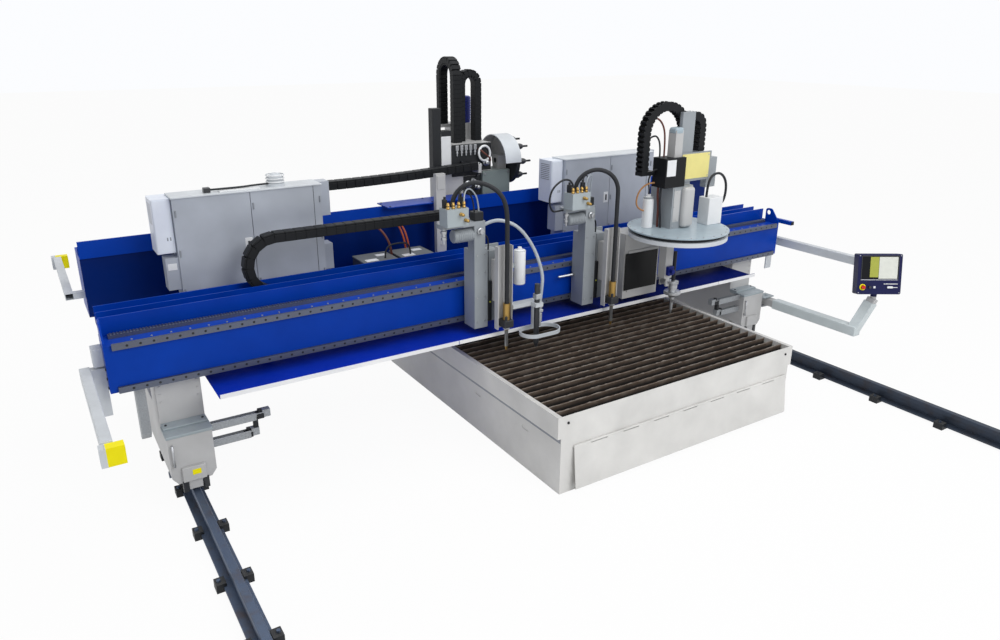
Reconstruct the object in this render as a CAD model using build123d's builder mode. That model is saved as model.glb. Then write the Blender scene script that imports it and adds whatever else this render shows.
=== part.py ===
from build123d import *
import os
from math import cos, pi, radians, sin, tan

# Gantry cutting machine with a drilling head, slag table and runway, in millimetres.
# +X runs along the beams, +Y away from the operator along the runway and +Z up.
# The origin lies on the floor, midway between the two rails and inside the table.

os.makedirs("parts", exist_ok=True)

# Clearances
seat = 0.3  # between a moving piece and what guides it
running = 0.05  # radial, between a shaft and its bore

# Runway
gauge = 7010  # rail centre to rail centre
rail_front = -4000
rail_length = 9000
rail_height = 150
rail_base = 170
rail_base_thick = 20
rail_web = 40
rail_head = 66
rail_head_depth = 45
rail_head_round = 8
chair_span = 275
chair_length = 95
chair_thick = 25
chair_pitch = 725
chair_inset = 360  # first chair from the rail's front end
clip_height = 45
clip_lip = 22
anchor_span = 430
anchor_length = 180
anchor_hole_r = 9
anchor_hole_x = 360
anchor_hole_y = 110
anchor_inset = 110  # anchor plate centre from the rail's end

# Slag table
table_centre_x = 780
table_width = 3110
table_front = -1800
table_length = 4000
table_height = 770
table_wall = 8
rim_height = 210
rim_overhang = 38
slat_thick = 6
slat_height = 110
slat_pitch = 110
slat_drop = 6  # slat top below the rim
slat_end_gap = 4
ledge = 45
weld_seam = 0.1
handle_slot = 110
handle_slot_height = 36
handle_recess = 5
handle_rise = 417
handle_spots = (545, 1390)  # from the table front

# Slag door
door_left = 175  # from the table's left edge
door_width = 2860
door_height = 415
door_thick = 6
door_hinge_z = 452
door_angle = 6.5  # how far it stands open
door_hem = 24
door_frame = 60  # what the door covers of the wall round its opening
knuckle_r = 10
knuckle_count = 15
knuckle_gap = 1

# Front beam
beam_length = 8010
beam_front = -175
beam_depth = 255
beam_bottom = 1160
beam_height = 400
beam_wall = 12
end_plate = 15
eye_top = 182  # lifting eye above the beam's top
eye_shoulder = 30
eye_width = 90
eye_slope = 120
eye_round = 35
eye_hole_r = 30
guide_height = 52
guide_depth = 26
guide_end = 45  # from the beam's end
guide_proud = 18  # upper guide above the beam's top
guide_drop = 3  # lower guide below the beam's bottom
rack_width = 60
rack_height = 28
rack_back = 30  # from the beam's back edge

# Cable troughs and deck
trough_top = 1720
trough_floor = 1575
trough_wall = 6
trough_front_width = 150
trough_back_width = 168
trough_flange = 16
deck_half = 3350
deck_top = 1492
deck_plate = 8
cross_tube_width = 120
cross_tube_height = 84
cross_tube_wall = 8
cross_tube_inset = 150  # outer tubes from the deck's ends
cross_tube_half = 1100  # inner tubes from the middle

# Rear beam, the chain trough on its top and the bridge plate in front
rear_front = 1120
rear_depth = 480
rear_bottom = 1400
rear_top = 1960
rear_wall = 10
rear_trough_proud = 22
rear_trough_width = 140
rear_trough_top = 2120
rear_trough_back_top = 2040
back_guide_z = 1552
bridge_left = -1035
bridge_width = 1085
bridge_front = 945
bridge_depth = 295
bridge_plate = 12
deck_post_left = -487
deck_post_width = 118
deck_post_front = 880
deck_post_depth = 60
deck_post_top = 2450

# Legs and trucks
leg_width = 362
leg_front = -81
leg_depth = 330
leg_wall = 12
rear_leg_depth = 400
sill_height = 110
truck_front = -322
truck_back = 2100
truck_top = 733
truck_skirt = 281
truck_wall = 8
truck_slope = 60  # height of the tapered lower edge
truck_taper = 45
nose_width = 110
nose_depth = 20
nose_bottom = 205
wheel_r = 110
wheel_flange = 14
wheel_width = 76
flange_width = 16
axle_r = 30
boss_r = 52
boss_length = 60
front_wheel = -130
rear_wheel = 1900
arm_front = -255  # channel arms on the trucks' inner faces
arm_width = 62
arm_height = 34
arm_wall = 6
upper_arm_z = 690
upper_arm_reach = 450
lower_arm_z = 535
lower_arm_reach = 340
clamp_size = 70
drop_plate_gap = 75  # from the leg's outer face
drop_plate_width = 75
drop_plate_front = -90
drop_plate_depth = 130
drop_plate_bottom = 620
drop_plate_slope = 80

# Drip tray under the front beam
tray_half = 3260
tray_front = -488
tray_depth = 560
tray_z = 1050
tray_plate = 5
tray_lip = 38
trim_thick = 8
trim_height = 36
trim_joints = (-1000, 800, 2600)
trim_gap = 8
hanger_width = 60
hanger_thick = 8
hanger_spots = (-2700, -900, 900, 2700)

# Cabinets
cabinet_width = 1357
cabinet_depth = 250
cabinet_front = 600
cabinet_top = 2525
cabinet_lefts = (-3250, 1068)
cabinet_wall = 6
cabinet_seam = 680  # panel seam from the cabinet's left edge
panel_thick = 18
panel_gap = 6
panel_edge = 8
cooler_width = 165
cooler_front = 650
cooler_depth = 256
cooler_bottom = 2025
cooler_drop = 12
cooler_wall = 4
cooler_round = 14
socket_width = 115
socket_depth = 150
socket_bottom = 1690
socket_top = 1985
side_box_width = 120
side_box_depth = 150
side_box_bottom = 2190
low_box_bottom = 1640
low_box_top = 1900
supply_boxes = ((-1510, 370), (-1090, 370))  # left edge and width
supply_front = 520
supply_depth = 330
supply_height = 190
beacon_x = -2290
beacon_base_r = 85
beacon_base = 28
beacon_r = 68
beacon_height = 120

# Light-barrier arms
barrier_width = 70
barrier_height = 60
barrier_wall = 4
barrier_front_x = 4165
barrier_front_z = 1310
barrier_front_root = 20
barrier_front_reach = 1390
barrier_rear_x = 4133
barrier_rear_z = 1600
barrier_rear_root = 1200
barrier_rear_reach = 1450
barrier_foot = 70
bracket_plate = 14
bracket_plate_low = 920
stub_width = 68
stub_low = 1390
stub_high = 1500
head_width = 115
head_length = 80
head_height = 135
head_reach = 100  # inner face of a head from the middle of its arm
head_clip = 40

# Console
console_pivot_x = 3800
console_pivot_y = -290
console_arm_z = 575
console_tube = 92
console_wall = 5
console_reach = 1270
console_rise_x = 127
console_rise_y = -103
console_rise_z = 405
console_pivot_r = 50
console_pin_r = 22
console_lug = 14
console_neck_r = 34
console_neck = 30
console_turn = 32  # degrees the panel is turned towards the operator
console_tilt = 12
console_width = 507
console_height = 468
console_depth = 110
console_wall_thick = 4
console_front_wall = 12
console_round = 18
console_lift = 271  # panel centre above the top of the neck
screen_width = 420
screen_height = 262
screen_rise = 75  # screen centre above the panel's centre
screen_thick = 6
control_drop = 150  # row of controls below the panel's centre
stop_x = -190
stop_r = 21
stop_height = 24
knob_x = -110
knob_r = 16
knob_height = 22
key_x = 120
key_width = 62
key_depth = 24
key_height = 10
control_stem_r = 8
control_stem = 9  # how far a stem reaches into the panel
push_room = 8  # between a push button's head and the panel

# Plasma stations on the front beam
station_xs = (-523, 825)  # torch axis of each station
carriage_left = -250  # from the torch axis
carriage_right = 135
carriage_plate = 22
carriage_pad = 6
carriage_bottom = 1132
carriage_top = 1920
column_width = 150
column_front = -405
column_wall = 6
slide_left = -75
slide_right = 45
slide_front = -385
slide_bottom = 1180
slide_top = 1900
bearing_length = 90
bearing_lip = 24
bearing_web = 1  # joins a lip to its pad
bearing_inset = 20
lifter_left = -95
lifter_right = 75
lifter_bottom = 1150
lifter_top = 1985
lifter_front = -585
lifter_web = -525
lifter_plate = 9
lifter_block_width = 100
lifter_block_height = 420
lifter_block_bottom = 1400
torch_y = -595
torch_tip = 925
torch_body_bottom = 1250
torch_body_top = 1415
torch_r = 36
torch_nozzle_r = 17
torch_nozzle = 40
torch_shaft_r = 24
torch_tip_r = 9
torch_clamp_height = 70
torch_clamp_bottom = 1172
torch_clamp_half = 48
lead_r = 22
lead_steps = 6
lead_stub = 40  # straight length above the gas unit
lead_rises = (120, 130)
motor_r = 62
motor_length = 200
gearbox = 120
chain_arm = 60
motor_z = 2085
manifold_lefts = (-592, -505)  # from the torch axis, one for each station
manifold_width = 225
manifold_depth = 150
manifold_front = -500
arm_top = 2215
gas_arm = 40
manifold_height = 165
fitting_r = 11
fitting_height = 45
fitting_count = 4
canister_x = 215  # from the first torch
canister_y = -490
canister_r = 58
canister_bottom = 1555
canister_top = 1895
canister_arm = 20

# Marking torch and its guard hoop on the first station, from the torch axis
marker_x = 330
marker_y = -640
marker_r = 27
marker_top = 1570
marker_tip = 905
marker_tip_r = 12
marker_taper = 45
marker_clamp = 45
hoop_x = 373
hoop_half_x = 225
hoop_half_y = 130
hoop_z = 1050
hoop_height = 38
hoop_thick = 10
hoop_strap = 40
bracket_bottom = 1340
bracket_height = 40
bracket_depth = 90

# Bevel rotator on the third station
rotor_x = 1530
rotor_y = -780
rotor_r = 530
rotor_plate = 14
rotor_drum_r = 480
rotor_drum = 38
rotor_hole_r = 330
ring_bottom = 1862
ring_height = 44
ring_r = 520
bevel_left = 1085
bevel_right = 1590
bevel_bottom = 1132
bevel_front = -470
bevel_cheek = 22
bevel_top_plate = 22
bevel_panel_left = 1140
bevel_panel_right = 1560
bevel_panel_bottom = 1230
bevel_panel_top = 1650
bevel_panel_thick = 12
post_x = 1440
post_y = -735
post_size = 105
post_wall = 7
post_bottom = 1400
post_top = 2970
tower_left = 1375
tower_width = 285
tower_front = -820
tower_depth = 320
tower_height = 442
housing_wall = 6
white_case_x = 1950
white_case_y = -825
white_case_size = (200, 145, 290)
cap_box_left = 1240
cap_box_width = 280
cap_box_front = -830
cap_box_depth = 190
cap_box_height = 300
mast_left = 1535
mast_width = 180
mast_front = -720
mast_depth = 40
mast_top = 3140
mast_shelf = 40
carrier_width = 450  # plate on the front of the mast
carrier_thick = 20
carrier_bottom = 2425
carrier_height = 300
drive_box_left = 1960
drive_box_width = 140
drive_box_depth = 80
drive_box_bottom = 2330
drive_box_height = 320
jar_x = 1237
jar_y = -615
jar_r = 54
jar_height = 325
fork_drop = 90
fork_width = 50
fork_plate = 20
tilt_rise = 40  # pin above the fork's lower end
tilt_pin_r = 16
link_height = 60
bevel_clamp_half = 42
bevel_torch_tip = 985
bevel_torch_r = 25
rotor_chain_y = -630
rotor_chain_left = 1100
rotor_chain_right = 1650
rotor_chain_centre_z = 2930
rotor_chain_left_foot = 2560
rotor_chain_foot = 2700
rotor_chain_width = 96
over_chain_start = 1735
over_chain_end = 1890
over_chain_foot = 2720
over_chain_z = 3090
over_chain_radius = 105

# Drill on the rear beam
drill_left = -520
drill_right = 720
saddle_thick = 28
saddle_rail_height = 30
saddle_rail_width = 42
saddle_rail_inset = 40
saddle_gap = 12
drill_column_left = -60
drill_column_right = 480
drill_column_front = 1300
drill_column_top = 2690
drill_column_wall = 10
drill_back_plate = 28
drill_back_bottom = 1480
drill_x = 390  # spindle axis
drill_guide_width = 300
drill_guide_depth = 45
drill_head_width = 340
drill_head_depth = 250
drill_head_bottom = 1720
drill_head_top = 2880
drill_head_wall = 12
drill_motor_r = 105
drill_motor_height = 300
spindle_r = 60
spindle_nose_r = 82
spindle_nose = 130
chuck_r = 42
chuck = 120
bit_r = 11
bit = 140
valve_box_depth = 95
valve_box_wall = 5
black_box_width = 100
black_box_top = 3100
white_box_width = 130
white_box_top = 2850
chain_foot = 40
carousel_y = 1390
carousel_z = 2455
carousel_r = 285
carousel_thick = 45
carousel_gap = 12
carousel_shaft_r = 30
carousel_tools = 8
tool_circle_r = 235
tool_r = 27
tool_tip_r = 12
tool_length = 175
carousel_base_left = 340
carousel_base_width = 270
carousel_base_height = 340
upright_width = 120
guard_thick = 6
guard_left = 560
guard_width = 215
guard_gap = 14

# Drag chains
chain_pitch = 100
loop_pitch = 52
open_pitch = 50
chain_width = 116
chain_height = 92
chain_notch = 13  # neck between two links
chain_end_gap = 12
chain_side = 14  # side plates of an open chain
chain_bar = 9
chain_bar_length = 22
front_chain_y = 316
front_chain_bend_x = -2475
front_chain_upper = 2140
front_chain_fixed_x = -1300
front_chain_end = -720
rear_chain_bend_x = -2850
rear_chain_upper = 2420
rear_chain_fixed_x = -1600
rear_chain_end = 200
feed_loop_x = 95
feed_loop_front = 1450
feed_loop_back = 1770
feed_loop_top = 3605
side_loop_y = 1550
side_loop_left = 206
side_loop_right = 430
side_loop_top = 3465
loop_width = 110

# Worked-out places
rail_top = chair_thick + rail_height
rail_back = rail_front + rail_length
table_left = table_centre_x - table_width / 2
table_right = table_left + table_width
table_back = table_front + table_length
rim_bottom = table_height - rim_height
slat_top = table_height - slat_drop
door_x = table_left + door_left + door_width / 2
hinge_y = table_front - knuckle_r - knuckle_gap
beam_half = beam_length / 2
beam_back = beam_front + beam_depth
beam_top = beam_bottom + beam_height
guide_front = beam_front - guide_depth
upper_guide_top = beam_top + guide_proud
lower_guide_bottom = beam_bottom - guide_drop
rear_back = rear_front + rear_depth
front_chain_lower = trough_floor + trough_wall + seat + chain_height / 2
rear_trough_front = rear_front - rear_trough_proud
rear_trough_back = rear_trough_front + rear_trough_width + 2 * trough_wall
rear_trough_floor = rear_top + trough_wall
rear_chain_y = (rear_trough_front + rear_trough_back) / 2
rear_chain_lower = rear_trough_floor + seat + chain_height / 2
wheel_z = rail_top + seat + wheel_r
rear_leg_front = rear_front + (rear_depth - rear_leg_depth) / 2


def block(xs, ys, zs, mode=Mode.ADD):
    """A box between two X, two Y and two Z values."""
    with Locations((sum(xs) / 2, sum(ys) / 2, sum(zs) / 2)):
        Box(xs[1] - xs[0], ys[1] - ys[0], zs[1] - zs[0], mode=mode)


def shell_block(xs, ys, zs, wall):
    """A closed hollow box with walls of one thickness."""
    block(xs, ys, zs)
    inner = [(low + wall, high - wall) for low, high in (xs, ys, zs)]
    block(*inner, mode=Mode.SUBTRACT)


def save(builder, name):
    """Label a finished piece and write it."""
    builder.part.label = name
    export_step(builder.part, f"parts/{name}.step")


# Runway rails, a crane-rail section each side
with BuildPart() as runway_rails:
    with BuildSketch(Plane.XZ.offset(-rail_front)) as section:
        web_height = rail_height - rail_base_thick - rail_head_depth
        for x in (-gauge / 2, gauge / 2):
            with Locations((x, chair_thick + rail_base_thick / 2)):
                Rectangle(rail_base, rail_base_thick)
            with Locations((x, chair_thick + rail_base_thick + web_height / 2)):
                Rectangle(rail_web, web_height)
            with Locations((x, rail_top - rail_head_depth / 2)):
                Rectangle(rail_head, rail_head_depth)
        fillet(section.vertices().group_by(Axis.Y)[-1], radius=rail_head_round)
    extrude(amount=-rail_length)
save(runway_rails, "runway_rails")


def clips(length):
    """The two clips that hold a rail's base flange, round the origin."""
    flange_top = chair_thick + rail_base_thick + seat
    for side in (-1, 1):
        inner = side * (rail_base / 2 + seat)
        lip = side * (rail_base / 2 - clip_lip)
        outer = side * chair_span / 2
        block(sorted((inner, outer)), (-length / 2, length / 2), (chair_thick, chair_thick + clip_height))
        block(
            sorted((lip, outer)),
            (-length / 2, length / 2),
            (flange_top, chair_thick + clip_height),
        )


with BuildPart() as chair:
    block((-chair_span / 2, chair_span / 2), (-chair_length / 2, chair_length / 2), (0, chair_thick))
    clips(chair_length)

with BuildPart() as anchor:
    with BuildSketch():
        Rectangle(anchor_span, anchor_length)
        with GridLocations(anchor_hole_x, anchor_hole_y, 2, 2):
            Circle(anchor_hole_r, mode=Mode.SUBTRACT)
    extrude(amount=chair_thick)
    clips(chair_length)

with BuildPart() as rail_chairs:
    chair_count = 1 + int((rail_length - 2 * chair_inset) / chair_pitch)
    chair_ys = [rail_front + chair_inset + chair_pitch * k for k in range(chair_count)]
    anchor_ys = (rail_front + anchor_inset, rail_back - anchor_inset)
    for x in (-gauge / 2, gauge / 2):
        with Locations(*[(x, y, 0) for y in chair_ys]):
            add(chair.part)
        with Locations(*[(x, y, 0) for y in anchor_ys]):
            add(anchor.part)
save(rail_chairs, "rail_chairs")

# Slag table: a tank with an overhanging rim, slat ledges and a door opening
tank_left = table_left + rim_overhang
tank_right = table_right - rim_overhang
tank_back = table_back - rim_overhang
slat_bottom = slat_top - slat_height
door_edges = (door_x - door_width / 2, door_x + door_width / 2)
knuckle_pitch = door_width / knuckle_count


def knuckles(first):
    """Every second knuckle of the door's hinge, starting from one of them."""
    spots = [
        (door_edges[0] + knuckle_pitch * (k + 0.5), hinge_y, door_hinge_z)
        for k in range(first, knuckle_count, 2)
    ]
    with Locations(*spots):
        Cylinder(knuckle_r, knuckle_pitch - knuckle_gap, rotation=(0, 90, 0))


with BuildPart() as table_tank:
    block((tank_left, tank_right), (table_front, tank_back), (0, rim_bottom))
    block((table_left, table_right), (table_front, table_back), (rim_bottom, table_height))
    block(
        (tank_left + table_wall, tank_right - table_wall),
        (table_front + table_wall, tank_back - table_wall),
        (table_wall, table_height),
        mode=Mode.SUBTRACT,
    )
    for left, right in (
        (tank_left, tank_left + table_wall + ledge),
        (table_centre_x - ledge / 2, table_centre_x + ledge / 2),
        (tank_right - table_wall - ledge, tank_right),
    ):
        block((left, right), (table_front, tank_back), (slat_bottom - ledge, slat_bottom))
    block(
        (door_edges[0] + door_frame, door_edges[1] - door_frame),
        (table_front, table_front + table_wall),
        (door_frame, door_hinge_z - door_frame),
        mode=Mode.SUBTRACT,
    )
    with BuildSketch(Plane.YZ.offset(tank_left)):
        with Locations(*[(table_front + spot, handle_rise) for spot in handle_spots]):
            SlotOverall(handle_slot, handle_slot_height)
    extrude(amount=handle_recess, mode=Mode.SUBTRACT)
    knuckles(1)
    for k in range(1, knuckle_count, 2):
        start = door_edges[0] + knuckle_pitch * k + knuckle_gap / 2
        block(
            (start, start + knuckle_pitch - knuckle_gap),
            (hinge_y, table_front),
            (door_hinge_z, door_hinge_z + knuckle_r),
        )
    seam_xs = (table_left, table_right)
    seam_ys = (table_front, table_back)
    block(seam_xs, seam_ys, (table_wall, table_wall + weld_seam), mode=Mode.SUBTRACT)
    for y in (table_front + table_wall, tank_back - table_wall - weld_seam):
        block(seam_xs, (y, y + weld_seam), (table_wall, table_height), mode=Mode.SUBTRACT)
    for x in (tank_left + table_wall, tank_right - table_wall - weld_seam):
        block((x, x + weld_seam), seam_ys, (slat_bottom - ledge, slat_bottom), mode=Mode.SUBTRACT)
save(table_tank, "table_tank")

# Slats, upright bars across the table
with BuildPart() as table_slats:
    slat_length = tank_right - tank_left - 2 * (table_wall + slat_end_gap)
    inner_length = tank_back - table_front - 2 * table_wall
    slat_count = int(inner_length / slat_pitch)
    slat_first = table_front + table_wall + (inner_length - slat_pitch * (slat_count - 1)) / 2
    with Locations(
        *[
            (table_centre_x, slat_first + slat_pitch * k, (slat_top + slat_bottom) / 2)
            for k in range(slat_count)
        ]
    ):
        Box(slat_length, slat_thick, slat_height)
save(table_slats, "table_slats")

# Slag door, hung from its hinge and standing a little open at the bottom
lean = radians(door_angle)
door_plane = Plane(
    origin=(door_x, hinge_y, door_hinge_z),
    x_dir=(1, 0, 0),
    z_dir=(0, -cos(lean), sin(lean)),
)
with BuildPart() as slag_door:
    with BuildSketch(door_plane):
        with Locations((0, -door_height / 2)):
            Rectangle(door_width, door_height)
    extrude(amount=door_thick)
    with BuildSketch(door_plane):
        with Locations((0, -door_height + door_thick / 2)):
            Rectangle(door_width, door_thick)
    extrude(amount=-door_hem)
    for k in range(1, knuckle_count, 2):
        start = door_edges[0] + knuckle_pitch * k
        block(
            (start, start + knuckle_pitch),
            (hinge_y - 3 * knuckle_r, hinge_y + 2 * knuckle_r),
            (door_hinge_z - 1.5 * knuckle_r, door_hinge_z + 2 * knuckle_r),
            mode=Mode.SUBTRACT,
        )
    knuckles(0)
save(slag_door, "slag_door")

# Front beam, a closed box section
with BuildPart() as front_beam:
    with BuildSketch(Plane.YZ.offset(-beam_half)):
        with Locations((beam_front + beam_depth / 2, beam_bottom + beam_height / 2)):
            Rectangle(beam_depth, beam_height)
            Rectangle(beam_depth - 2 * beam_wall, beam_height - 2 * beam_wall, mode=Mode.SUBTRACT)
    extrude(amount=beam_length)
save(front_beam, "front_beam")

# End plates with lifting eyes
with BuildPart() as beam_end_plates:
    for x in (-beam_half - end_plate, beam_half):
        with BuildSketch(Plane.YZ.offset(x)) as plate:
            with BuildLine():
                Polyline(
                    (beam_front, beam_bottom),
                    (beam_front, beam_top + eye_shoulder),
                    (beam_front + eye_slope, beam_top + eye_top),
                    (beam_front + eye_slope + eye_width, beam_top + eye_top),
                    (beam_front + eye_slope + eye_width, beam_top + eye_shoulder),
                    (beam_back, beam_top + eye_shoulder),
                    (beam_back, beam_bottom),
                    close=True,
                )
            make_face()
            fillet(plate.vertices().group_by(Axis.Y)[-1], radius=eye_round)
            with Locations((beam_front + eye_slope + eye_width / 2, beam_top + eye_top - 1.8 * eye_hole_r)):
                Circle(eye_hole_r, mode=Mode.SUBTRACT)
        extrude(amount=end_plate)
save(beam_end_plates, "beam_end_plates")

# Guide rails of both beams and the gear rack on the front beam
guide_length = beam_length - 2 * guide_end
saddle_rail_y = rear_trough_back + saddle_rail_inset
with BuildPart() as guide_rails_and_rack:
    with BuildSketch(Plane.YZ.offset(-beam_half + guide_end)):
        with Locations(
            (guide_front + guide_depth / 2, upper_guide_top - guide_height / 2),
            (guide_front + guide_depth / 2, lower_guide_bottom + guide_height / 2),
        ):
            Rectangle(guide_depth, guide_height)
        with Locations((beam_back - rack_back - rack_width / 2, beam_top + rack_height / 2)):
            Rectangle(rack_width, rack_height)
        with Locations(
            (saddle_rail_y, rear_top + saddle_rail_height / 2),
            (rear_back - saddle_rail_inset, rear_top + saddle_rail_height / 2),
        ):
            Rectangle(saddle_rail_width, saddle_rail_height)
        with Locations((rear_back + guide_depth / 2, back_guide_z)):
            Rectangle(guide_depth, guide_height)
    extrude(amount=guide_length)
save(guide_rails_and_rack, "guide_rails_and_rack")

# Cable troughs behind the front beam and on the rear beam
trough_mid = beam_back + trough_wall + trough_front_width
trough_back = trough_mid + trough_wall + trough_back_width
with BuildPart() as cable_troughs:
    with BuildSketch(Plane.YZ.offset(-beam_half)):
        for y in (beam_back, trough_mid, trough_back):
            low = deck_top if y == beam_back else trough_floor
            with Locations((y + trough_wall / 2, (low + trough_top) / 2)):
                Rectangle(trough_wall, trough_top - low)
            with Locations((y + trough_flange / 2, trough_top - trough_wall / 2)):
                Rectangle(trough_flange, trough_wall)
        with Locations(((beam_back + trough_back + trough_wall) / 2, trough_floor + trough_wall / 2)):
            Rectangle(trough_back + trough_wall - beam_back, trough_wall)
        with Locations((rear_trough_front + trough_wall / 2, (rear_top + rear_trough_top) / 2)):
            Rectangle(trough_wall, rear_trough_top - rear_top)
        with Locations((rear_trough_front + trough_flange / 2, rear_trough_top - trough_wall / 2)):
            Rectangle(trough_flange, trough_wall)
        with Locations((rear_trough_back - trough_wall / 2, (rear_top + rear_trough_back_top) / 2)):
            Rectangle(trough_wall, rear_trough_back_top - rear_top)
        with Locations((rear_chain_y, rear_top + trough_wall / 2)):
            Rectangle(rear_trough_back - rear_trough_front, trough_wall)
    extrude(amount=beam_length)
    stop = rear_chain_fixed_x + seat
    stop_ys = (rear_chain_y - chain_width / 2, rear_chain_y + chain_width / 2)
    block((stop, stop + chain_foot), stop_ys, (rear_trough_floor, rear_trough_floor + chain_height))
save(cable_troughs, "cable_troughs")

# Deck plate on cross tubes between the beams, and the bridge plate by the rear trough
cross_tube_end = deck_half - cross_tube_inset
cross_tube_spots = (-cross_tube_end, -cross_tube_half, cross_tube_half, cross_tube_end)
with BuildPart() as deck:
    block((-deck_half, deck_half), (beam_back, rear_front), (deck_top - deck_plate, deck_top))
    with BuildSketch(Plane.XZ.offset(-beam_back)):
        with Locations(*[(x, deck_top - deck_plate - cross_tube_height / 2) for x in cross_tube_spots]):
            Rectangle(cross_tube_width, cross_tube_height)
            Rectangle(
                cross_tube_width - 2 * cross_tube_wall,
                cross_tube_height - 2 * cross_tube_wall,
                mode=Mode.SUBTRACT,
            )
    extrude(amount=beam_back - rear_front)
    block(
        (bridge_left, bridge_left + bridge_width),
        (bridge_front, bridge_front + bridge_depth),
        (rear_trough_top, rear_trough_top + bridge_plate),
    )
save(deck, "deck")

# Rear beam, a taller box
with BuildPart() as rear_beam:
    shell_block((-beam_half, beam_half), (rear_front, rear_back), (rear_bottom, rear_top), rear_wall)
save(rear_beam, "rear_beam")

# Legs: a short front leg, a taller rear leg and a sill on each truck, and a post on the deck
with BuildPart() as gantry_legs:
    for x in (-gauge / 2, gauge / 2):
        sides = (x - leg_width / 2, x + leg_width / 2)
        sill_top = truck_top + sill_height
        shell_block(sides, (leg_front, leg_front + leg_depth), (truck_top, beam_bottom), leg_wall)
        shell_block(
            sides,
            (rear_leg_front, rear_leg_front + rear_leg_depth),
            (truck_top, rear_bottom),
            leg_wall,
        )
        shell_block(sides, (leg_front + leg_depth, rear_leg_front), (truck_top, sill_top), leg_wall)
    shell_block(
        (deck_post_left, deck_post_left + deck_post_width),
        (deck_post_front, deck_post_front + deck_post_depth),
        (deck_top, deck_post_top),
        leg_wall,
    )
save(gantry_legs, "gantry_legs")

# Truck covers, open below over the rail, with bosses for the axles and a nose in front
axle_ys = (front_wheel, rear_wheel)
with BuildPart() as truck_covers:
    for x in (-gauge / 2, gauge / 2):
        half = leg_width / 2
        with BuildSketch(Plane.XZ.offset(-truck_front)):
            with BuildLine():
                Polyline(
                    (x - half + truck_taper, truck_skirt),
                    (x - half, truck_skirt + truck_slope),
                    (x - half, truck_top),
                    (x + half, truck_top),
                    (x + half, truck_skirt + truck_slope),
                    (x + half - truck_taper, truck_skirt),
                    close=True,
                )
            make_face()
        extrude(amount=truck_front - truck_back)
        block(
            (x - half + truck_wall + truck_taper, x + half - truck_wall - truck_taper),
            (truck_front + truck_wall, truck_back - truck_wall),
            (truck_skirt, truck_top - truck_wall),
            mode=Mode.SUBTRACT,
        )
        for y in (truck_front, truck_back - nose_depth):
            block(
                (x - nose_width / 2, x + nose_width / 2),
                (y, y + nose_depth),
                (nose_bottom, truck_skirt + truck_slope),
            )
        hub = wheel_width / 2 + flange_width + seat
        for y in axle_ys:
            for side in (-1, 1):
                inner = x + side * hub
                outer = x + side * (half - truck_taper)
                with BuildSketch(Plane.YZ.offset(inner)):
                    with Locations((y, wheel_z)):
                        Circle(boss_r)
                extrude(amount=outer - inner)
        for y in axle_ys:
            with Locations((x, y, wheel_z)):
                Cylinder(
                    axle_r + running,
                    leg_width + 2 * boss_length,
                    rotation=(0, 90, 0),
                    mode=Mode.SUBTRACT,
                )
save(truck_covers, "truck_covers")

# Wheels with two flanges and their axles
with BuildPart() as wheel:
    with BuildSketch(Plane.XZ):
        half_tread = wheel_width / 2
        half_axle = leg_width / 2
        with BuildLine():
            Polyline(
                (0, -half_axle),
                (axle_r, -half_axle),
                (axle_r, -half_tread - flange_width),
                (wheel_r + wheel_flange, -half_tread - flange_width),
                (wheel_r + wheel_flange, -half_tread - seat),
                (wheel_r, -half_tread),
                (wheel_r, half_tread),
                (wheel_r + wheel_flange, half_tread + seat),
                (wheel_r + wheel_flange, half_tread + flange_width),
                (axle_r, half_tread + flange_width),
                (axle_r, half_axle),
                (0, half_axle),
                close=True,
            )
        make_face()
    revolve(axis=Axis.Z)

wheel_ys = {"front": front_wheel, "rear": rear_wheel}
wheel_xs = {"left": -gauge / 2, "right": gauge / 2}
for end, y in wheel_ys.items():
    for side, x in wheel_xs.items():
        with BuildPart() as placed_wheel:
            with Locations(Location((x, y, wheel_z), (0, 90, 0))):
                add(wheel.part)
        save(placed_wheel, f"wheel_{end}_{side}")

# Channel arms on the inner faces of the trucks and lugs for the console's pivot
with BuildPart() as truck_brackets:
    for side in (-1, 1):
        face = side * (gauge / 2 - leg_width / 2)
        for z, reach in ((upper_arm_z, upper_arm_reach), (lower_arm_z, lower_arm_reach)):
            tip = face - side * reach
            span = sorted((face, tip))
            block(span, (arm_front, arm_front + arm_width), (z, z + arm_height))
            block(
                span,
                (arm_front + arm_wall, arm_front + arm_width - arm_wall),
                (z + arm_wall, z + arm_height),
                mode=Mode.SUBTRACT,
            )
            grip = sorted((tip, tip - side * clamp_size))
            middle = z + arm_height / 2
            block(grip, (arm_front, arm_front + arm_width), (middle - clamp_size / 2, middle + clamp_size / 2))
    with BuildSketch(Plane.YZ.offset(-gauge / 2 - leg_width / 2 - drop_plate_gap)):
        with BuildLine():
            Polyline(
                (drop_plate_front, drop_plate_bottom + drop_plate_slope),
                (drop_plate_front, beam_bottom),
                (drop_plate_front + drop_plate_depth, beam_bottom),
                (drop_plate_front + drop_plate_depth, drop_plate_bottom),
                (drop_plate_front + drop_plate_slope, drop_plate_bottom),
                close=True,
            )
        make_face()
    extrude(amount=-drop_plate_width)
    lug_root = gauge / 2 + leg_width / 2
    lug_inner = console_tube / 2 + seat
    for low in (console_arm_z - lug_inner - console_lug, console_arm_z + lug_inner):
        with BuildSketch(Plane.XY.offset(low)):
            with Locations((console_pivot_x, console_pivot_y)):
                Circle(console_pivot_r)
            with Locations(((lug_root + console_pivot_x) / 2, console_pivot_y)):
                Rectangle(console_pivot_x - lug_root, 2 * console_pivot_r)
            with Locations((console_pivot_x, console_pivot_y)):
                Circle(console_pin_r + running, mode=Mode.SUBTRACT)
        extrude(amount=console_lug)
save(truck_brackets, "truck_brackets")

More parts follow.
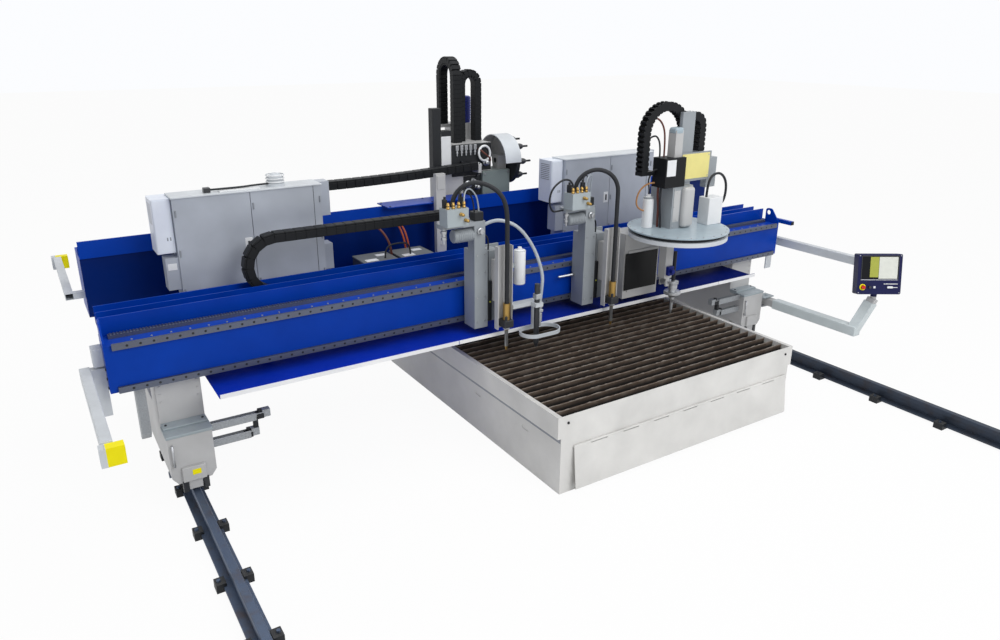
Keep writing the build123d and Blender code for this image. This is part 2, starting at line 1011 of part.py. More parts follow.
# Drip tray hung under the front beam, with a pale trim in four lengths along its front
with BuildPart() as drip_tray:
    block((-tray_half, tray_half), (tray_front, tray_front + tray_depth), (tray_z, tray_z + tray_plate))
    block((-tray_half, tray_half), (tray_front, tray_front + tray_plate), (tray_z, tray_z + tray_lip))
    for x in hanger_spots:
        block(
            (x - hanger_width / 2, x + hanger_width / 2),
            (tray_front + tray_depth - hanger_thick, tray_front + tray_depth),
            (tray_z, beam_bottom),
        )
save(drip_tray, "drip_tray")

with BuildPart() as tray_trim:
    edges = (-tray_half,) + trim_joints + (tray_half,)
    for left, right in zip(edges[:-1], edges[1:]):
        block(
            (left + trim_gap / 2, right - trim_gap / 2),
            (tray_front - trim_thick, tray_front),
            (tray_z, tray_z + trim_height),
        )
save(tray_trim, "tray_trim")

# Control cabinets on the deck, each with two bolted panels and a few smaller boxes
with BuildPart() as control_cabinets:
    body_front = cabinet_front + panel_thick
    body_back = cabinet_front + cabinet_depth
    for left in cabinet_lefts:
        right = left + cabinet_width
        shell_block((left, right), (body_front, body_back), (deck_top, cabinet_top), cabinet_wall)
        seam = left + cabinet_seam
        for panel in ((left, seam - panel_gap / 2), (seam + panel_gap / 2, right)):
            block(panel, (cabinet_front, body_front), (deck_top + panel_edge, cabinet_top))
        shell_block(
            (left - socket_width, left),
            (body_front, body_front + socket_depth),
            (socket_bottom, socket_top),
            cabinet_wall,
        )
        for low, high in ((side_box_bottom, cabinet_top), (low_box_bottom, low_box_top)):
            shell_block(
                (right, right + side_box_width),
                (body_back - side_box_depth, body_back),
                (low, high),
                cabinet_wall,
            )
save(control_cabinets, "control_cabinets")

# Coolers on the cabinets' left ends
with BuildPart() as cabinet_coolers:
    for left in cabinet_lefts:
        with BuildSketch(Plane.XY.offset(cooler_bottom)):
            with Locations((left - cooler_width / 2, cooler_front + cooler_depth / 2)):
                RectangleRounded(cooler_width, cooler_depth, cooler_round)
        extrude(amount=cabinet_top - cooler_drop - cooler_bottom)
        block(
            (left - cooler_width + cooler_wall, left - cooler_wall),
            (cooler_front + cooler_wall, cooler_front + cooler_depth - cooler_wall),
            (cooler_bottom + cooler_wall, cabinet_top - cooler_drop - cooler_wall),
            mode=Mode.SUBTRACT,
        )
save(cabinet_coolers, "cabinet_coolers")

# Supply boxes on the deck between the cabinets
with BuildPart() as supply_units:
    for left, width in supply_boxes:
        shell_block(
            (left, left + width),
            (supply_front, supply_front + supply_depth),
            (deck_top, deck_top + supply_height),
            cabinet_wall,
        )
save(supply_units, "supply_boxes")

# Warning beacon on the left cabinet
with BuildPart() as warning_beacon:
    with BuildSketch(Plane.XZ):
        with BuildLine():
            Polyline(
                (0, 0),
                (beacon_base_r, 0),
                (beacon_base_r, beacon_base),
                (beacon_r, beacon_base),
                (beacon_r, beacon_height - beacon_r / 2),
                (beacon_r / 2, beacon_height),
                (0, beacon_height),
                close=True,
            )
        make_face()
    revolve(axis=Axis.Z)
with BuildPart() as placed_beacon:
    with Locations((beacon_x, cabinet_front + cabinet_depth / 2, cabinet_top)):
        add(warning_beacon.part)
save(placed_beacon, "warning_beacon")

# Light-barrier arms on the four corners of the gantry, with their heads
front_barrier = (
    barrier_front_x,
    barrier_front_z,
    barrier_front_root,
    barrier_front_root - barrier_front_reach,
    beam_half + end_plate,
)
rear_barrier = (
    barrier_rear_x,
    barrier_rear_z,
    barrier_rear_root,
    barrier_rear_root + barrier_rear_reach,
    beam_half,
)
with BuildPart() as barrier_arms:
    half = barrier_width / 2
    for side in (-1, 1):
        for x, z, root, tip, face in (front_barrier, rear_barrier):
            low, high = z - barrier_height / 2, z + barrier_height / 2
            with BuildSketch(Plane.XZ.offset(-root)):
                with Locations((side * x, z)):
                    Rectangle(barrier_width, barrier_height)
                    Rectangle(
                        barrier_width - 2 * barrier_wall,
                        barrier_height - 2 * barrier_wall,
                        mode=Mode.SUBTRACT,
                    )
            extrude(amount=root - tip)
            heading = 1 if tip > root else -1
            foot = sorted((root, root + heading * barrier_foot))
            block(sorted((side * face, side * (x - half))), foot, (low, high))
            clip = x - head_reach + head_width
            block(
                sorted((side * clip, side * (clip + head_clip))),
                sorted((tip, tip + heading * head_length)),
                (high - head_height, high),
            )
        root_face = beam_half + end_plate
        block(
            sorted((side * root_face, side * (barrier_front_x - half))),
            (barrier_front_root - barrier_foot, barrier_front_root - barrier_foot + bracket_plate),
            (bracket_plate_low, barrier_front_z - barrier_height / 2),
        )
        block(
            sorted((side * root_face, side * (root_face + stub_width))),
            (barrier_front_root - barrier_foot, barrier_front_root),
            (stub_low, stub_high),
        )
save(barrier_arms, "barrier_arms")

with BuildPart() as barrier_heads:
    for side in (-1, 1):
        for x, z, root, tip, face in (front_barrier, rear_barrier):
            heading = 1 if tip > root else -1
            inner = x - head_reach
            high = z + barrier_height / 2
            block(
                sorted((side * inner, side * (inner + head_width))),
                sorted((tip, tip + heading * head_length)),
                (high - head_height, high),
            )
save(barrier_heads, "barrier_heads")

# Console: a swinging arm, a turning panel and its controls
bend_y = console_pivot_y - console_reach
neck_x = console_pivot_x + console_rise_x
neck_y = bend_y + console_rise_y
neck_bottom = console_arm_z + console_rise_z
neck_top = neck_bottom + console_neck
rise = Vector(console_rise_x, console_rise_y, console_rise_z)
half_tube = console_tube / 2
with BuildPart() as console_arm:
    shell_block(
        (console_pivot_x - half_tube, console_pivot_x + half_tube),
        (bend_y - half_tube, console_pivot_y + half_tube),
        (console_arm_z - half_tube, console_arm_z + half_tube),
        console_wall,
    )
    with BuildSketch(Plane(origin=(console_pivot_x, bend_y, console_arm_z), x_dir=(1, 0, 0), z_dir=rise)):
        Rectangle(console_tube, console_tube)
    extrude(amount=rise.length)
    with BuildSketch(Plane.XY.offset(neck_bottom)):
        with Locations((neck_x, neck_y)):
            Circle(console_neck_r)
    extrude(amount=console_neck)
    with Locations((console_pivot_x, console_pivot_y, console_arm_z)):
        Cylinder(console_pin_r, console_tube + 2 * (seat + console_lug))
save(console_arm, "console_arm")

turn = radians(console_turn)
tilt = radians(console_tilt)
facing = Vector(-sin(turn) * cos(tilt), -cos(turn) * cos(tilt), sin(tilt))
along_panel = Vector(cos(turn), -sin(turn), 0)
middle_back = facing * (console_depth / 2)
panel_centre = Vector(neck_x, neck_y, neck_top + console_lift) + middle_back
panel = Plane(origin=panel_centre, x_dir=along_panel, z_dir=facing)
with BuildPart() as console_housing:
    with BuildSketch(panel):
        RectangleRounded(console_width, console_height, console_round)
    extrude(amount=-console_depth)
    with BuildSketch(panel.offset(-console_front_wall)):
        Rectangle(console_width - 2 * console_round, console_height - 2 * console_round)
    extrude(amount=console_front_wall + console_wall_thick - console_depth, mode=Mode.SUBTRACT)
    with BuildSketch(Plane.XY.offset(neck_top + seat)):
        with Locations((neck_x, neck_y)):
            Circle(console_neck_r)
    extrude(amount=console_lift - console_height / 2 + console_round)
    with BuildSketch(panel):
        with Locations((0, screen_rise)):
            Rectangle(screen_width, screen_height)
    extrude(amount=-screen_thick, mode=Mode.SUBTRACT)
    with BuildSketch(panel):
        with Locations((stop_x, -control_drop), (knob_x, -control_drop), (key_x, -control_drop)):
            Circle(control_stem_r + seat)
    extrude(amount=-console_front_wall, mode=Mode.SUBTRACT)
save(console_housing, "console_housing")

with BuildPart() as console_screen:
    with BuildSketch(panel.offset(-screen_thick)):
        with Locations((0, screen_rise)):
            Rectangle(screen_width - 2 * seat, screen_height - 2 * seat)
    extrude(amount=screen_thick)
save(console_screen, "console_screen")

control_spots = {"emergency_stop": stop_x, "feed_knob": knob_x, "start_button": key_x}
control_rooms = {"emergency_stop": push_room, "feed_knob": seat, "start_button": push_room}
for name, x in control_spots.items():
    with BuildPart() as control:
        with BuildSketch(panel.offset(-control_stem)):
            with Locations((x, -control_drop)):
                Circle(control_stem_r)
        extrude(amount=control_stem + control_rooms[name])
        with BuildSketch(panel.offset(control_rooms[name])):
            with Locations((x, -control_drop)):
                if name == "emergency_stop":
                    Circle(stop_r)
                elif name == "feed_knob":
                    RegularPolygon(knob_r, 12)
                else:
                    RectangleRounded(key_width, key_depth, key_depth / 4)
        heights = {"emergency_stop": stop_height, "feed_knob": knob_height, "start_button": key_height}
        extrude(amount=heights[name])
    save(control, name)

# Plasma stations: a carriage on the guide rails, a lifter, a torch, a gas unit and its lead
first_station_right = station_xs[0] + carriage_right
carriage_back = guide_front - carriage_pad
carriage_face = carriage_back - carriage_plate


def bearings(left, right):
    """Pads and lips that hold a carriage plate to the two guide rails."""
    upper = (upper_guide_top - guide_height, upper_guide_top)
    lower = (lower_guide_bottom, lower_guide_bottom + guide_height)
    for start in (left + bearing_inset, right - bearing_inset - bearing_length):
        span = (start, start + bearing_length)
        for low, high in (upper, lower):
            block(span, (carriage_back, guide_front - seat), (low, high))
        block(
            span,
            (carriage_back, guide_front + bearing_lip),
            (upper_guide_top + seat, upper_guide_top + seat + bearing_lip),
        )
        block(
            span,
            (carriage_back, guide_front + bearing_lip),
            (lower_guide_bottom - seat - bearing_lip, lower_guide_bottom - seat),
        )
        block(
            span,
            (carriage_back, carriage_back + bearing_web),
            (upper_guide_top, upper_guide_top + seat + bearing_lip),
        )
        block(
            span,
            (carriage_back, carriage_back + bearing_web),
            (lower_guide_bottom - seat - bearing_lip, lower_guide_bottom),
        )


def station_carriage(torch_x, manifold_left):
    """Back plate, hollow column, slide, lift motor and the arm under the gas unit."""
    left = torch_x + carriage_left
    right = torch_x + carriage_right
    block((left, right), (carriage_face, carriage_back), (carriage_bottom, carriage_top))
    bearings(left, right)
    column_right = left + column_width
    shell_block(
        (left, column_right),
        (column_front, carriage_face),
        (carriage_bottom, carriage_top),
        column_wall,
    )
    block(
        (torch_x + slide_left, torch_x + slide_right),
        (slide_front, carriage_face),
        (slide_bottom, slide_top),
    )
    block((left, left + gearbox), (column_front, column_front + gearbox), (carriage_top, arm_top))
    with Locations((left - motor_length / 2, column_front + gearbox / 2, motor_z)):
        Cylinder(motor_r, motor_length, rotation=(0, 90, 0))
    block(
        (torch_x + manifold_left, left + gearbox),
        (column_front, column_front + gearbox),
        (arm_top - gas_arm, arm_top),
    )


def station_lifter(torch_x):
    """An upright channel open to the front, its slide block and the torch clamp."""
    left = torch_x + lifter_left
    right = torch_x + lifter_right
    clamp_back = lifter_web - lifter_plate
    clamp_front = torch_y - torch_clamp_half
    with BuildPart() as lifter:
        with BuildSketch(Plane.XY.offset(lifter_bottom)):
            with BuildLine():
                Polyline(
                    (left, lifter_front),
                    (left, lifter_web),
                    (right, lifter_web),
                    (right, lifter_front),
                    (right - lifter_plate, lifter_front),
                    (right - lifter_plate, clamp_back),
                    (left + lifter_plate, clamp_back),
                    (left + lifter_plate, lifter_front),
                    close=True,
                )
            make_face()
        extrude(amount=lifter_top - lifter_bottom)
        block(
            (torch_x - lifter_block_width / 2, torch_x + lifter_block_width / 2),
            (lifter_web, slide_front - seat),
            (lifter_block_bottom, lifter_block_bottom + lifter_block_height),
        )
        with BuildSketch(Plane.XY.offset(torch_clamp_bottom)):
            with Locations((torch_x, (clamp_back + clamp_front) / 2)):
                Rectangle(2 * torch_clamp_half, clamp_back - clamp_front)
            with Locations((torch_x, torch_y)):
                Circle(torch_shaft_r, mode=Mode.SUBTRACT)
        extrude(amount=torch_clamp_height)
    return lifter


with BuildPart() as torch:
    with BuildSketch(Plane.XZ):
        with BuildLine():
            Polyline(
                (0, torch_tip),
                (torch_tip_r, torch_tip),
                (torch_nozzle_r, torch_tip + torch_nozzle),
                (torch_nozzle_r, torch_clamp_bottom - torch_nozzle),
                (torch_shaft_r, torch_clamp_bottom - torch_nozzle / 2),
                (torch_shaft_r, torch_body_bottom),
                (torch_r, torch_body_bottom),
                (torch_r, torch_body_top),
                (lead_r, torch_body_top),
                (0, torch_body_top),
                close=True,
            )
        make_face()
    revolve(axis=Axis.Z)


def gas_unit(torch_x, manifold_left):
    """A valve block with a row of upright fittings."""
    left = torch_x + manifold_left
    block(
        (left, left + manifold_width),
        (manifold_front, manifold_front + manifold_depth),
        (arm_top, arm_top + manifold_height),
    )
    step = manifold_width / fitting_count
    with Locations(
        *[
            (left + step * (k + 0.5), manifold_front + manifold_depth / 4, arm_top + manifold_height)
            for k in range(fitting_count)
        ]
    ):
        Cylinder(fitting_r, fitting_height, align=(Align.CENTER, Align.CENTER, Align.MIN))


def canister(x):
    """An upright canister on an arm from the carriage plate."""
    with Locations((x, canister_y, canister_bottom)):
        Cylinder(
            canister_r,
            canister_top - canister_bottom,
            align=(Align.CENTER, Align.CENTER, Align.MIN),
        )
    arm_right = first_station_right - canister_arm / 2
    arm_z = ((canister_bottom + canister_top) / 2, (canister_bottom + canister_top) / 2 + 2 * canister_arm)
    block((arm_right - canister_arm, arm_right), (canister_y, carriage_face), arm_z)
    block((arm_right - canister_arm, x), (canister_y, canister_y + canister_arm), arm_z)


def lead_route(torch_x, manifold_left, rise):
    """The torch lead: straight up the channel, then over in an arch into the gas unit."""
    end_x = torch_x + manifold_left + manifold_width / 2
    end_y = manifold_front + manifold_depth * 3 / 4
    unit_top = arm_top + manifold_height
    base = unit_top + lead_stub
    points = [(torch_x, torch_y, torch_body_top)]
    for k in range(lead_steps + 1):
        swing = pi * k / lead_steps
        share = (1 - cos(swing)) / 2
        x = torch_x + (end_x - torch_x) * share
        y = torch_y + (end_y - torch_y) * share
        points.append((x, y, base + rise * sin(swing)))
    points.append((end_x, end_y, unit_top))
    return [Vector(*point) for point in points]


def bend_radii(points):
    """The largest gentle arc at each corner of a route."""
    radii = []
    for before, corner, after in zip(points[:-2], points[1:-1], points[2:]):
        run_in = corner - before
        run_out = after - corner
        half_turn = radians(run_in.get_angle(run_out)) / 2
        radii.append(0.45 * min(run_in.length, run_out.length) / tan(half_turn))
    return radii


stations = (
    ("plasma1", station_xs[0], manifold_lefts[0], lead_rises[0]),
    ("plasma2", station_xs[1], manifold_lefts[1], lead_rises[1]),
)
for name, torch_x, manifold_left, lead_rise in stations:
    with BuildPart() as carriage:
        station_carriage(torch_x, manifold_left)
        if name == "plasma1":
            block(
                (front_chain_end, front_chain_end + chain_arm),
                (column_front, front_chain_y + chain_width / 2),
                (front_chain_upper - chain_height / 2, front_chain_upper + chain_height / 2),
            )
    save(carriage, f"{name}_carriage")
    save(station_lifter(torch_x), f"{name}_lifter")
    with BuildPart() as placed_torch:
        with Locations((torch_x, torch_y, 0)):
            add(torch.part)
    save(placed_torch, f"{name}_torch")
    with BuildPart() as unit:
        gas_unit(torch_x, manifold_left)
        if name == "plasma1":
            canister(torch_x + canister_x)
    save(unit, f"{name}_gas_unit")
    points = lead_route(torch_x, manifold_left, lead_rise)
    with BuildPart() as lead:
        with BuildLine() as route:
            FilletPolyline(*points, radius=bend_radii(points))
        with BuildSketch(Plane(origin=(torch_x, torch_y, torch_body_top), z_dir=(0, 0, 1))):
            Circle(lead_r)
        sweep()
    save(lead, f"{name}_lead")
    length = route.wire().length
    ratio = lead.part.volume / (pi * lead_r**2 * length)
    print(name, "lead", round(length), "mm, volume over section times length", round(ratio, 3))
    print(name, "lead radii", [round(radius) for radius in bend_radii(points)])

# Marking torch beside the first plasma torch, with its bracket and guard hoop
first_x = station_xs[0]
with BuildPart() as marker:
    with BuildSketch(Plane.XZ):
        with BuildLine():
            Polyline(
                (0, marker_tip),
                (marker_tip_r, marker_tip),
                (marker_r, marker_tip + marker_taper),
                (marker_r, marker_top),
                (0, marker_top),
                close=True,
            )
        make_face()
    revolve(axis=Axis.Z)
with BuildPart() as marker_torch:
    with Locations((first_x + marker_x, marker_y, 0)):
        add(marker.part)
save(marker_torch, "marker_torch")

with BuildPart() as marker_guard:
    with BuildSketch(Plane.XY.offset(hoop_z)):
        with Locations((first_x + hoop_x, marker_y)):
            SlotOverall(2 * hoop_half_x, 2 * hoop_half_y)
            SlotOverall(2 * (hoop_half_x - hoop_thick), 2 * (hoop_half_y - hoop_thick), mode=Mode.SUBTRACT)
    extrude(amount=hoop_height)
    hoop_back = marker_y + hoop_half_y
    block(
        (first_x + hoop_x - hoop_strap / 2, first_x + hoop_x + hoop_strap / 2),
        (hoop_back - hoop_thick, hoop_back),
        (hoop_z, bracket_bottom),
    )
    with BuildSketch(Plane.XY.offset(bracket_bottom)):
        with BuildLine():
            Polyline(
                (first_x + lifter_right, hoop_back),
                (first_x + hoop_x + hoop_strap, hoop_back),
                (first_x + marker_x + marker_clamp, marker_y - marker_clamp),
                (first_x + marker_x - marker_clamp, marker_y - marker_clamp),
                (first_x + marker_x - marker_clamp, hoop_back - bracket_depth),
                (first_x + lifter_right, hoop_back - bracket_depth),
                close=True,
            )
        make_face()
        with Locations((first_x + marker_x, marker_y)):
            Circle(marker_r, mode=Mode.SUBTRACT)
    extrude(amount=bracket_height)
save(marker_guard, "marker_guard")

# Bevel station: a carriage carrying a slew ring, and what turns on it
ring_top = ring_bottom + ring_height
drum_bottom = ring_top + seat
disc_bottom = drum_bottom + rotor_drum
disc_top = disc_bottom + rotor_plate
with BuildPart() as bevel_carriage:
    top_plate = (ring_bottom - bevel_top_plate, ring_bottom)
    block((bevel_left, bevel_right), (carriage_face, carriage_back), (bevel_bottom, ring_bottom))
    bearings(bevel_left, bevel_right)
    block((bevel_left, bevel_right), (bevel_front, carriage_face), top_plate)
    block(
        (bevel_left, bevel_right),
        (bevel_front, carriage_face),
        (bevel_bottom, bevel_bottom + bevel_cheek),
    )
    for left in (bevel_left, bevel_right - bevel_cheek):
        block((left, left + bevel_cheek), (bevel_front, carriage_face), (bevel_bottom, ring_bottom))
    block(
        (bevel_left, bevel_right),
        (bevel_front, bevel_front + bevel_cheek),
        (bevel_bottom, bevel_panel_bottom),
    )
    block(
        (bevel_left, bevel_right),
        (bevel_front, bevel_front + bevel_cheek),
        (bevel_panel_top, ring_bottom),
    )
    block(
        (bevel_panel_left, bevel_panel_right),
        (bevel_front - bevel_panel_thick, bevel_front),
        (bevel_panel_bottom - bevel_cheek, bevel_panel_top + bevel_cheek),
    )
save(bevel_carriage, "bevel_carriage")

with BuildPart() as slew_ring:
    with BuildSketch(Plane.XY.offset(ring_bottom)):
        with Locations((rotor_x, rotor_y)):
            Circle(ring_r)
            Circle(rotor_hole_r, mode=Mode.SUBTRACT)
    extrude(amount=ring_height)
save(slew_ring, "slew_ring")

post_hole = post_size + 2 * seat
with BuildPart() as rotator_disc:
    with BuildSketch(Plane.XY.offset(drum_bottom)):
        with Locations((rotor_x, rotor_y)):
            Circle(rotor_drum_r)
            Circle(rotor_hole_r, mode=Mode.SUBTRACT)
    extrude(amount=rotor_drum)
    with BuildSketch(Plane.XY.offset(disc_bottom)):
        with Locations((rotor_x, rotor_y)):
            Circle(rotor_r)
        with Locations((post_x, post_y)):
            Rectangle(post_hole, post_hole, mode=Mode.SUBTRACT)
    extrude(amount=rotor_plate)
save(rotator_disc, "rotator_disc")

# Housings on the disc: the tower that guides the post, a mast, a side box and a white jar
tower_top = disc_top + tower_height
mast_back = mast_front + mast_depth
mast_right = mast_left + mast_width
chain_back = rotor_chain_y + rotor_chain_width / 2
half_chain = chain_height / 2
with BuildPart() as rotator_housing:
    shell_block(
        (tower_left, tower_left + tower_width),
        (tower_front, tower_front + tower_depth),
        (disc_top, tower_top),
        housing_wall,
    )
    with Locations((post_x, post_y, (disc_top + tower_top) / 2)):
        Box(post_hole, post_hole, tower_height, mode=Mode.SUBTRACT)
    width, depth, height = white_case_size
    shell_block(
        (white_case_x - width / 2, white_case_x + width / 2),
        (white_case_y - depth / 2, white_case_y + depth / 2),
        (disc_top, disc_top + height),
        housing_wall,
    )
    block((mast_left, mast_right), (mast_front, mast_back), (disc_top, mast_top))
    block(
        (mast_left, mast_left + carrier_width),
        (mast_front - carrier_thick, mast_front),
        (carrier_bottom, carrier_bottom + carrier_height),
    )
    shell_block(
        (drive_box_left, drive_box_left + drive_box_width),
        (mast_front, mast_front + drive_box_depth),
        (drive_box_bottom, drive_box_bottom + drive_box_height),
        housing_wall,
    )
    block(
        (rotor_chain_right - half_chain, mast_right),
        (mast_back, chain_back),
        (rotor_chain_foot - mast_shelf, rotor_chain_foot),
    )
    block(
        (over_chain_start - mast_shelf, over_chain_start),
        (mast_back, chain_back),
        (over_chain_z - half_chain, over_chain_z + half_chain),
    )
    block(
        (over_chain_end - half_chain, over_chain_end + half_chain),
        (mast_front, chain_back),
        (over_chain_foot - mast_shelf, over_chain_foot),
    )
    with BuildSketch(Plane.XY.offset(disc_top)):
        with Locations((jar_x, jar_y)):
            Circle(jar_r)
    extrude(amount=jar_height)
save(rotator_housing, "rotator_housing")

# Post through the disc, with a fork below for the tilting link
fork_bottom = post_bottom - fork_drop
pin_z = fork_bottom + tilt_rise
with BuildPart() as bevel_column:
    shell_block(
        (post_x - post_size / 2, post_x + post_size / 2),
        (post_y - post_size / 2, post_y + post_size / 2),
        (post_bottom, post_top),
        post_wall,
    )
    for y in (post_y - post_size / 2, post_y + post_size / 2 - fork_plate):
        block(
            (post_x - fork_width / 2, post_x + fork_width / 2),
            (y, y + fork_plate),
            (fork_bottom, post_bottom),
        )
    with Locations((post_x, post_y, pin_z)):
        Cylinder(tilt_pin_r + running, post_size, rotation=(90, 0, 0), mode=Mode.SUBTRACT)
save(bevel_column, "bevel_column")

with BuildPart() as bevel_link:
    link_half = post_size / 2 - fork_plate - seat
    with Locations((post_x, post_y, pin_z)):
        Cylinder(tilt_pin_r, post_size, rotation=(90, 0, 0))
        Cylinder(link_height / 2, 2 * link_half, rotation=(90, 0, 0))
    block(
        (post_x, rotor_x + bevel_clamp_half),
        (post_y - link_half, post_y + link_half),
        (pin_z - link_height / 2, pin_z),
    )
    block(
        (rotor_x - bevel_clamp_half, rotor_x + bevel_clamp_half),
        (rotor_y - bevel_clamp_half, post_y + link_half),
        (pin_z - link_height / 2, pin_z),
    )
    with Locations((rotor_x, rotor_y, pin_z)):
        Cylinder(bevel_torch_r, 2 * link_height, mode=Mode.SUBTRACT)
save(bevel_link, "bevel_link")

with BuildPart() as bevel_nozzle:
    with BuildSketch(Plane.XZ):
        with BuildLine():
            Polyline(
                (0, bevel_torch_tip),
                (torch_tip_r, bevel_torch_tip),
                (torch_nozzle_r, bevel_torch_tip + torch_nozzle),
                (torch_nozzle_r, bevel_torch_tip + 3 * torch_nozzle),
                (bevel_torch_r, bevel_torch_tip + 4 * torch_nozzle),
                (bevel_torch_r, pin_z),
                (0, pin_z),
                close=True,
            )
        make_face()
    revolve(axis=Axis.Z)
with BuildPart() as bevel_torch:
    with Locations((rotor_x, rotor_y, 0)):
        add(bevel_nozzle.part)
save(bevel_torch, "bevel_torch")

# Drill: a saddle on the rear beam with a column, and the head that feeds down behind the beam
saddle_bottom = rear_top + saddle_rail_height + seat
saddle_top = saddle_bottom + saddle_thick
saddle_front = rear_trough_back + saddle_gap
back_face = rear_back + guide_depth + seat
guide_face = back_face + drill_back_plate + drill_guide_depth
head_sides = (drill_x - drill_head_width / 2, drill_x + drill_head_width / 2)
upright_right = drill_right
upright_left = drill_right - upright_width
with BuildPart() as drill_carriage:
    block((drill_left, drill_right), (saddle_front, back_face), (saddle_bottom, saddle_top))
    shell_block(
        (drill_column_left, drill_column_right),
        (drill_column_front, back_face),
        (saddle_top, drill_column_top),
        drill_column_wall,
    )
    block(
        (drill_column_left, head_sides[1]),
        (back_face, back_face + drill_back_plate),
        (drill_back_bottom, drill_column_top),
    )
    block(
        (drill_x - drill_guide_width / 2, drill_x + drill_guide_width / 2),
        (back_face + drill_back_plate, guide_face),
        (drill_back_bottom, drill_column_top),
    )
    white_left = drill_column_left - white_box_width
    black_left = white_left - black_box_width
    valve_box = (drill_column_front, drill_column_front + valve_box_depth)
    shell_block((white_left, drill_column_left), valve_box, (saddle_top, white_box_top), valve_box_wall)
    shell_block((black_left, white_left), valve_box, (saddle_top, black_box_top), valve_box_wall)
    block(
        (rear_chain_end, rear_chain_end + chain_foot),
        (rear_chain_y - chain_width / 2, drill_column_front),
        (rear_chain_upper - chain_height / 2, rear_chain_upper + chain_height / 2),
    )
    block(
        (carousel_base_left, upright_right),
        (carousel_y - carousel_base_width / 2, carousel_y + carousel_base_width / 2),
        (saddle_top, saddle_top + carousel_base_height),
    )
    block(
        (upright_left, upright_right),
        (carousel_y - upright_width / 2, carousel_y + upright_width / 2),
        (saddle_top, carousel_z + upright_width / 2),
    )
    with BuildSketch(Plane.YZ.offset(upright_right - guard_thick)):
        guard_r = carousel_r + guard_gap + guard_thick
        with Locations((carousel_y, carousel_z)):
            Circle(guard_r)
            with Locations((0, -guard_r)):
                Rectangle(2 * guard_r, 2 * guard_r, mode=Mode.SUBTRACT)
    extrude(amount=guard_thick)
    with BuildSketch(Plane.YZ.offset(guard_left)):
        with Locations((carousel_y, carousel_z)):
            Circle(guard_r)
            Circle(guard_r - guard_thick, mode=Mode.SUBTRACT)
            with Locations((0, -guard_r)):
                Rectangle(2 * guard_r, 2 * guard_r, mode=Mode.SUBTRACT)
    extrude(amount=guard_width)
    with Locations((upright_right, carousel_y, carousel_z)):
        Cylinder(carousel_shaft_r + running, 2 * upright_width + 2 * seat, rotation=(0, 90, 0), mode=Mode.SUBTRACT)
save(drill_carriage, "drill_carriage")

with BuildPart() as drill_head:
    head_front = guide_face + seat
    shell_block(
        head_sides,
        (head_front, head_front + drill_head_depth),
        (drill_head_bottom, drill_head_top),
        drill_head_wall,
    )
    with Locations((drill_x, head_front + drill_head_depth / 2, drill_head_bottom + drill_head_wall / 2)):
        Cylinder(spindle_r + running, drill_head_wall, mode=Mode.SUBTRACT)
    block(
        (feed_loop_x - loop_width / 2, head_sides[0]),
        (feed_loop_back - chain_height / 2, feed_loop_back + chain_height / 2),
        (drill_head_top - chain_foot, drill_head_top),
    )
save(drill_head, "drill_head")

spindle_y = head_front + drill_head_depth / 2
with BuildPart() as drill_motor:
    with BuildSketch(Plane.XY.offset(drill_head_top)):
        with Locations((drill_x, spindle_y)):
            Circle(drill_motor_r)
    extrude(amount=drill_motor_height)
save(drill_motor, "drill_motor")

with BuildPart() as spindle:
    with BuildSketch(Plane.XZ):
        nose_top = drill_head_bottom - seat
        nose_bottom_z = nose_top - spindle_nose
        chuck_bottom = nose_bottom_z - chuck
        with BuildLine():
            Polyline(
                (0, drill_head_bottom + drill_head_wall),
                (spindle_r, drill_head_bottom + drill_head_wall),
                (spindle_r, nose_top),
                (spindle_nose_r, nose_top),
                (spindle_nose_r, nose_bottom_z),
                (chuck_r, nose_bottom_z),
                (chuck_r, chuck_bottom),
                (bit_r, chuck_bottom - bit_r),
                (bit_r, chuck_bottom - bit + bit_r),
                (0, chuck_bottom - bit),
                close=True,
            )
        make_face()
    revolve(axis=Axis.Z)
with BuildPart() as drill_spindle:
    with Locations((drill_x, spindle_y, 0)):
        add(spindle.part)
save(drill_spindle, "drill_spindle")

# Tool carousel: a disc on a shaft, with holders that point to the right
with BuildPart() as tool_carousel:
    carousel_left = upright_right + carousel_gap
    holder_left = carousel_left + carousel_thick
    with BuildSketch(Plane.YZ.offset(upright_left)):
        with Locations((carousel_y, carousel_z)):
            Circle(carousel_shaft_r)
    extrude(amount=carousel_left - upright_left)
    with BuildSketch(Plane.YZ.offset(carousel_left)):
        with Locations((carousel_y, carousel_z)):
            Circle(carousel_r)
    extrude(amount=carousel_thick)
    with BuildSketch(Plane.YZ.offset(holder_left)):
        with Locations((carousel_y, carousel_z)):
            with PolarLocations(tool_circle_r, carousel_tools):
                Circle(tool_r)
    extrude(amount=tool_length / 2)
    with BuildSketch(Plane.YZ.offset(holder_left + tool_length / 2)):
        with Locations((carousel_y, carousel_z)):
            with PolarLocations(tool_circle_r, carousel_tools):
                Circle(tool_tip_r)
    extrude(amount=tool_length / 2)
save(tool_carousel, "tool_carousel")


# Drag chains: links of one pitch along a route, each with a narrower neck to the next
def link_joints(route, pitch):
    """Points one link apart along a flat route."""
    wire = route.wire()
    count = round(wire.length / pitch)
    return [wire.position_at(k / count) for k in range(count + 1)]


def link_outline(joints):
    """The stepped outline of a chain seen from its side."""
    half = chain_height / 2
    upper = []
    lower = []
    for start, end in zip(joints[:-1], joints[1:]):
        along = (end - start).normalized()
        across = Vector(-along.Y, along.X, 0)
        for spot, reach in (
            (start, half - chain_notch),
            (start + along * chain_end_gap, half),
            (end - along * chain_end_gap, half),
        ):
            upper.append(spot + across * reach)
            lower.append(spot - across * reach)
    upper.append(end + across * (half - chain_notch))
    lower.append(end - across * (half - chain_notch))
    return upper + lower[::-1]


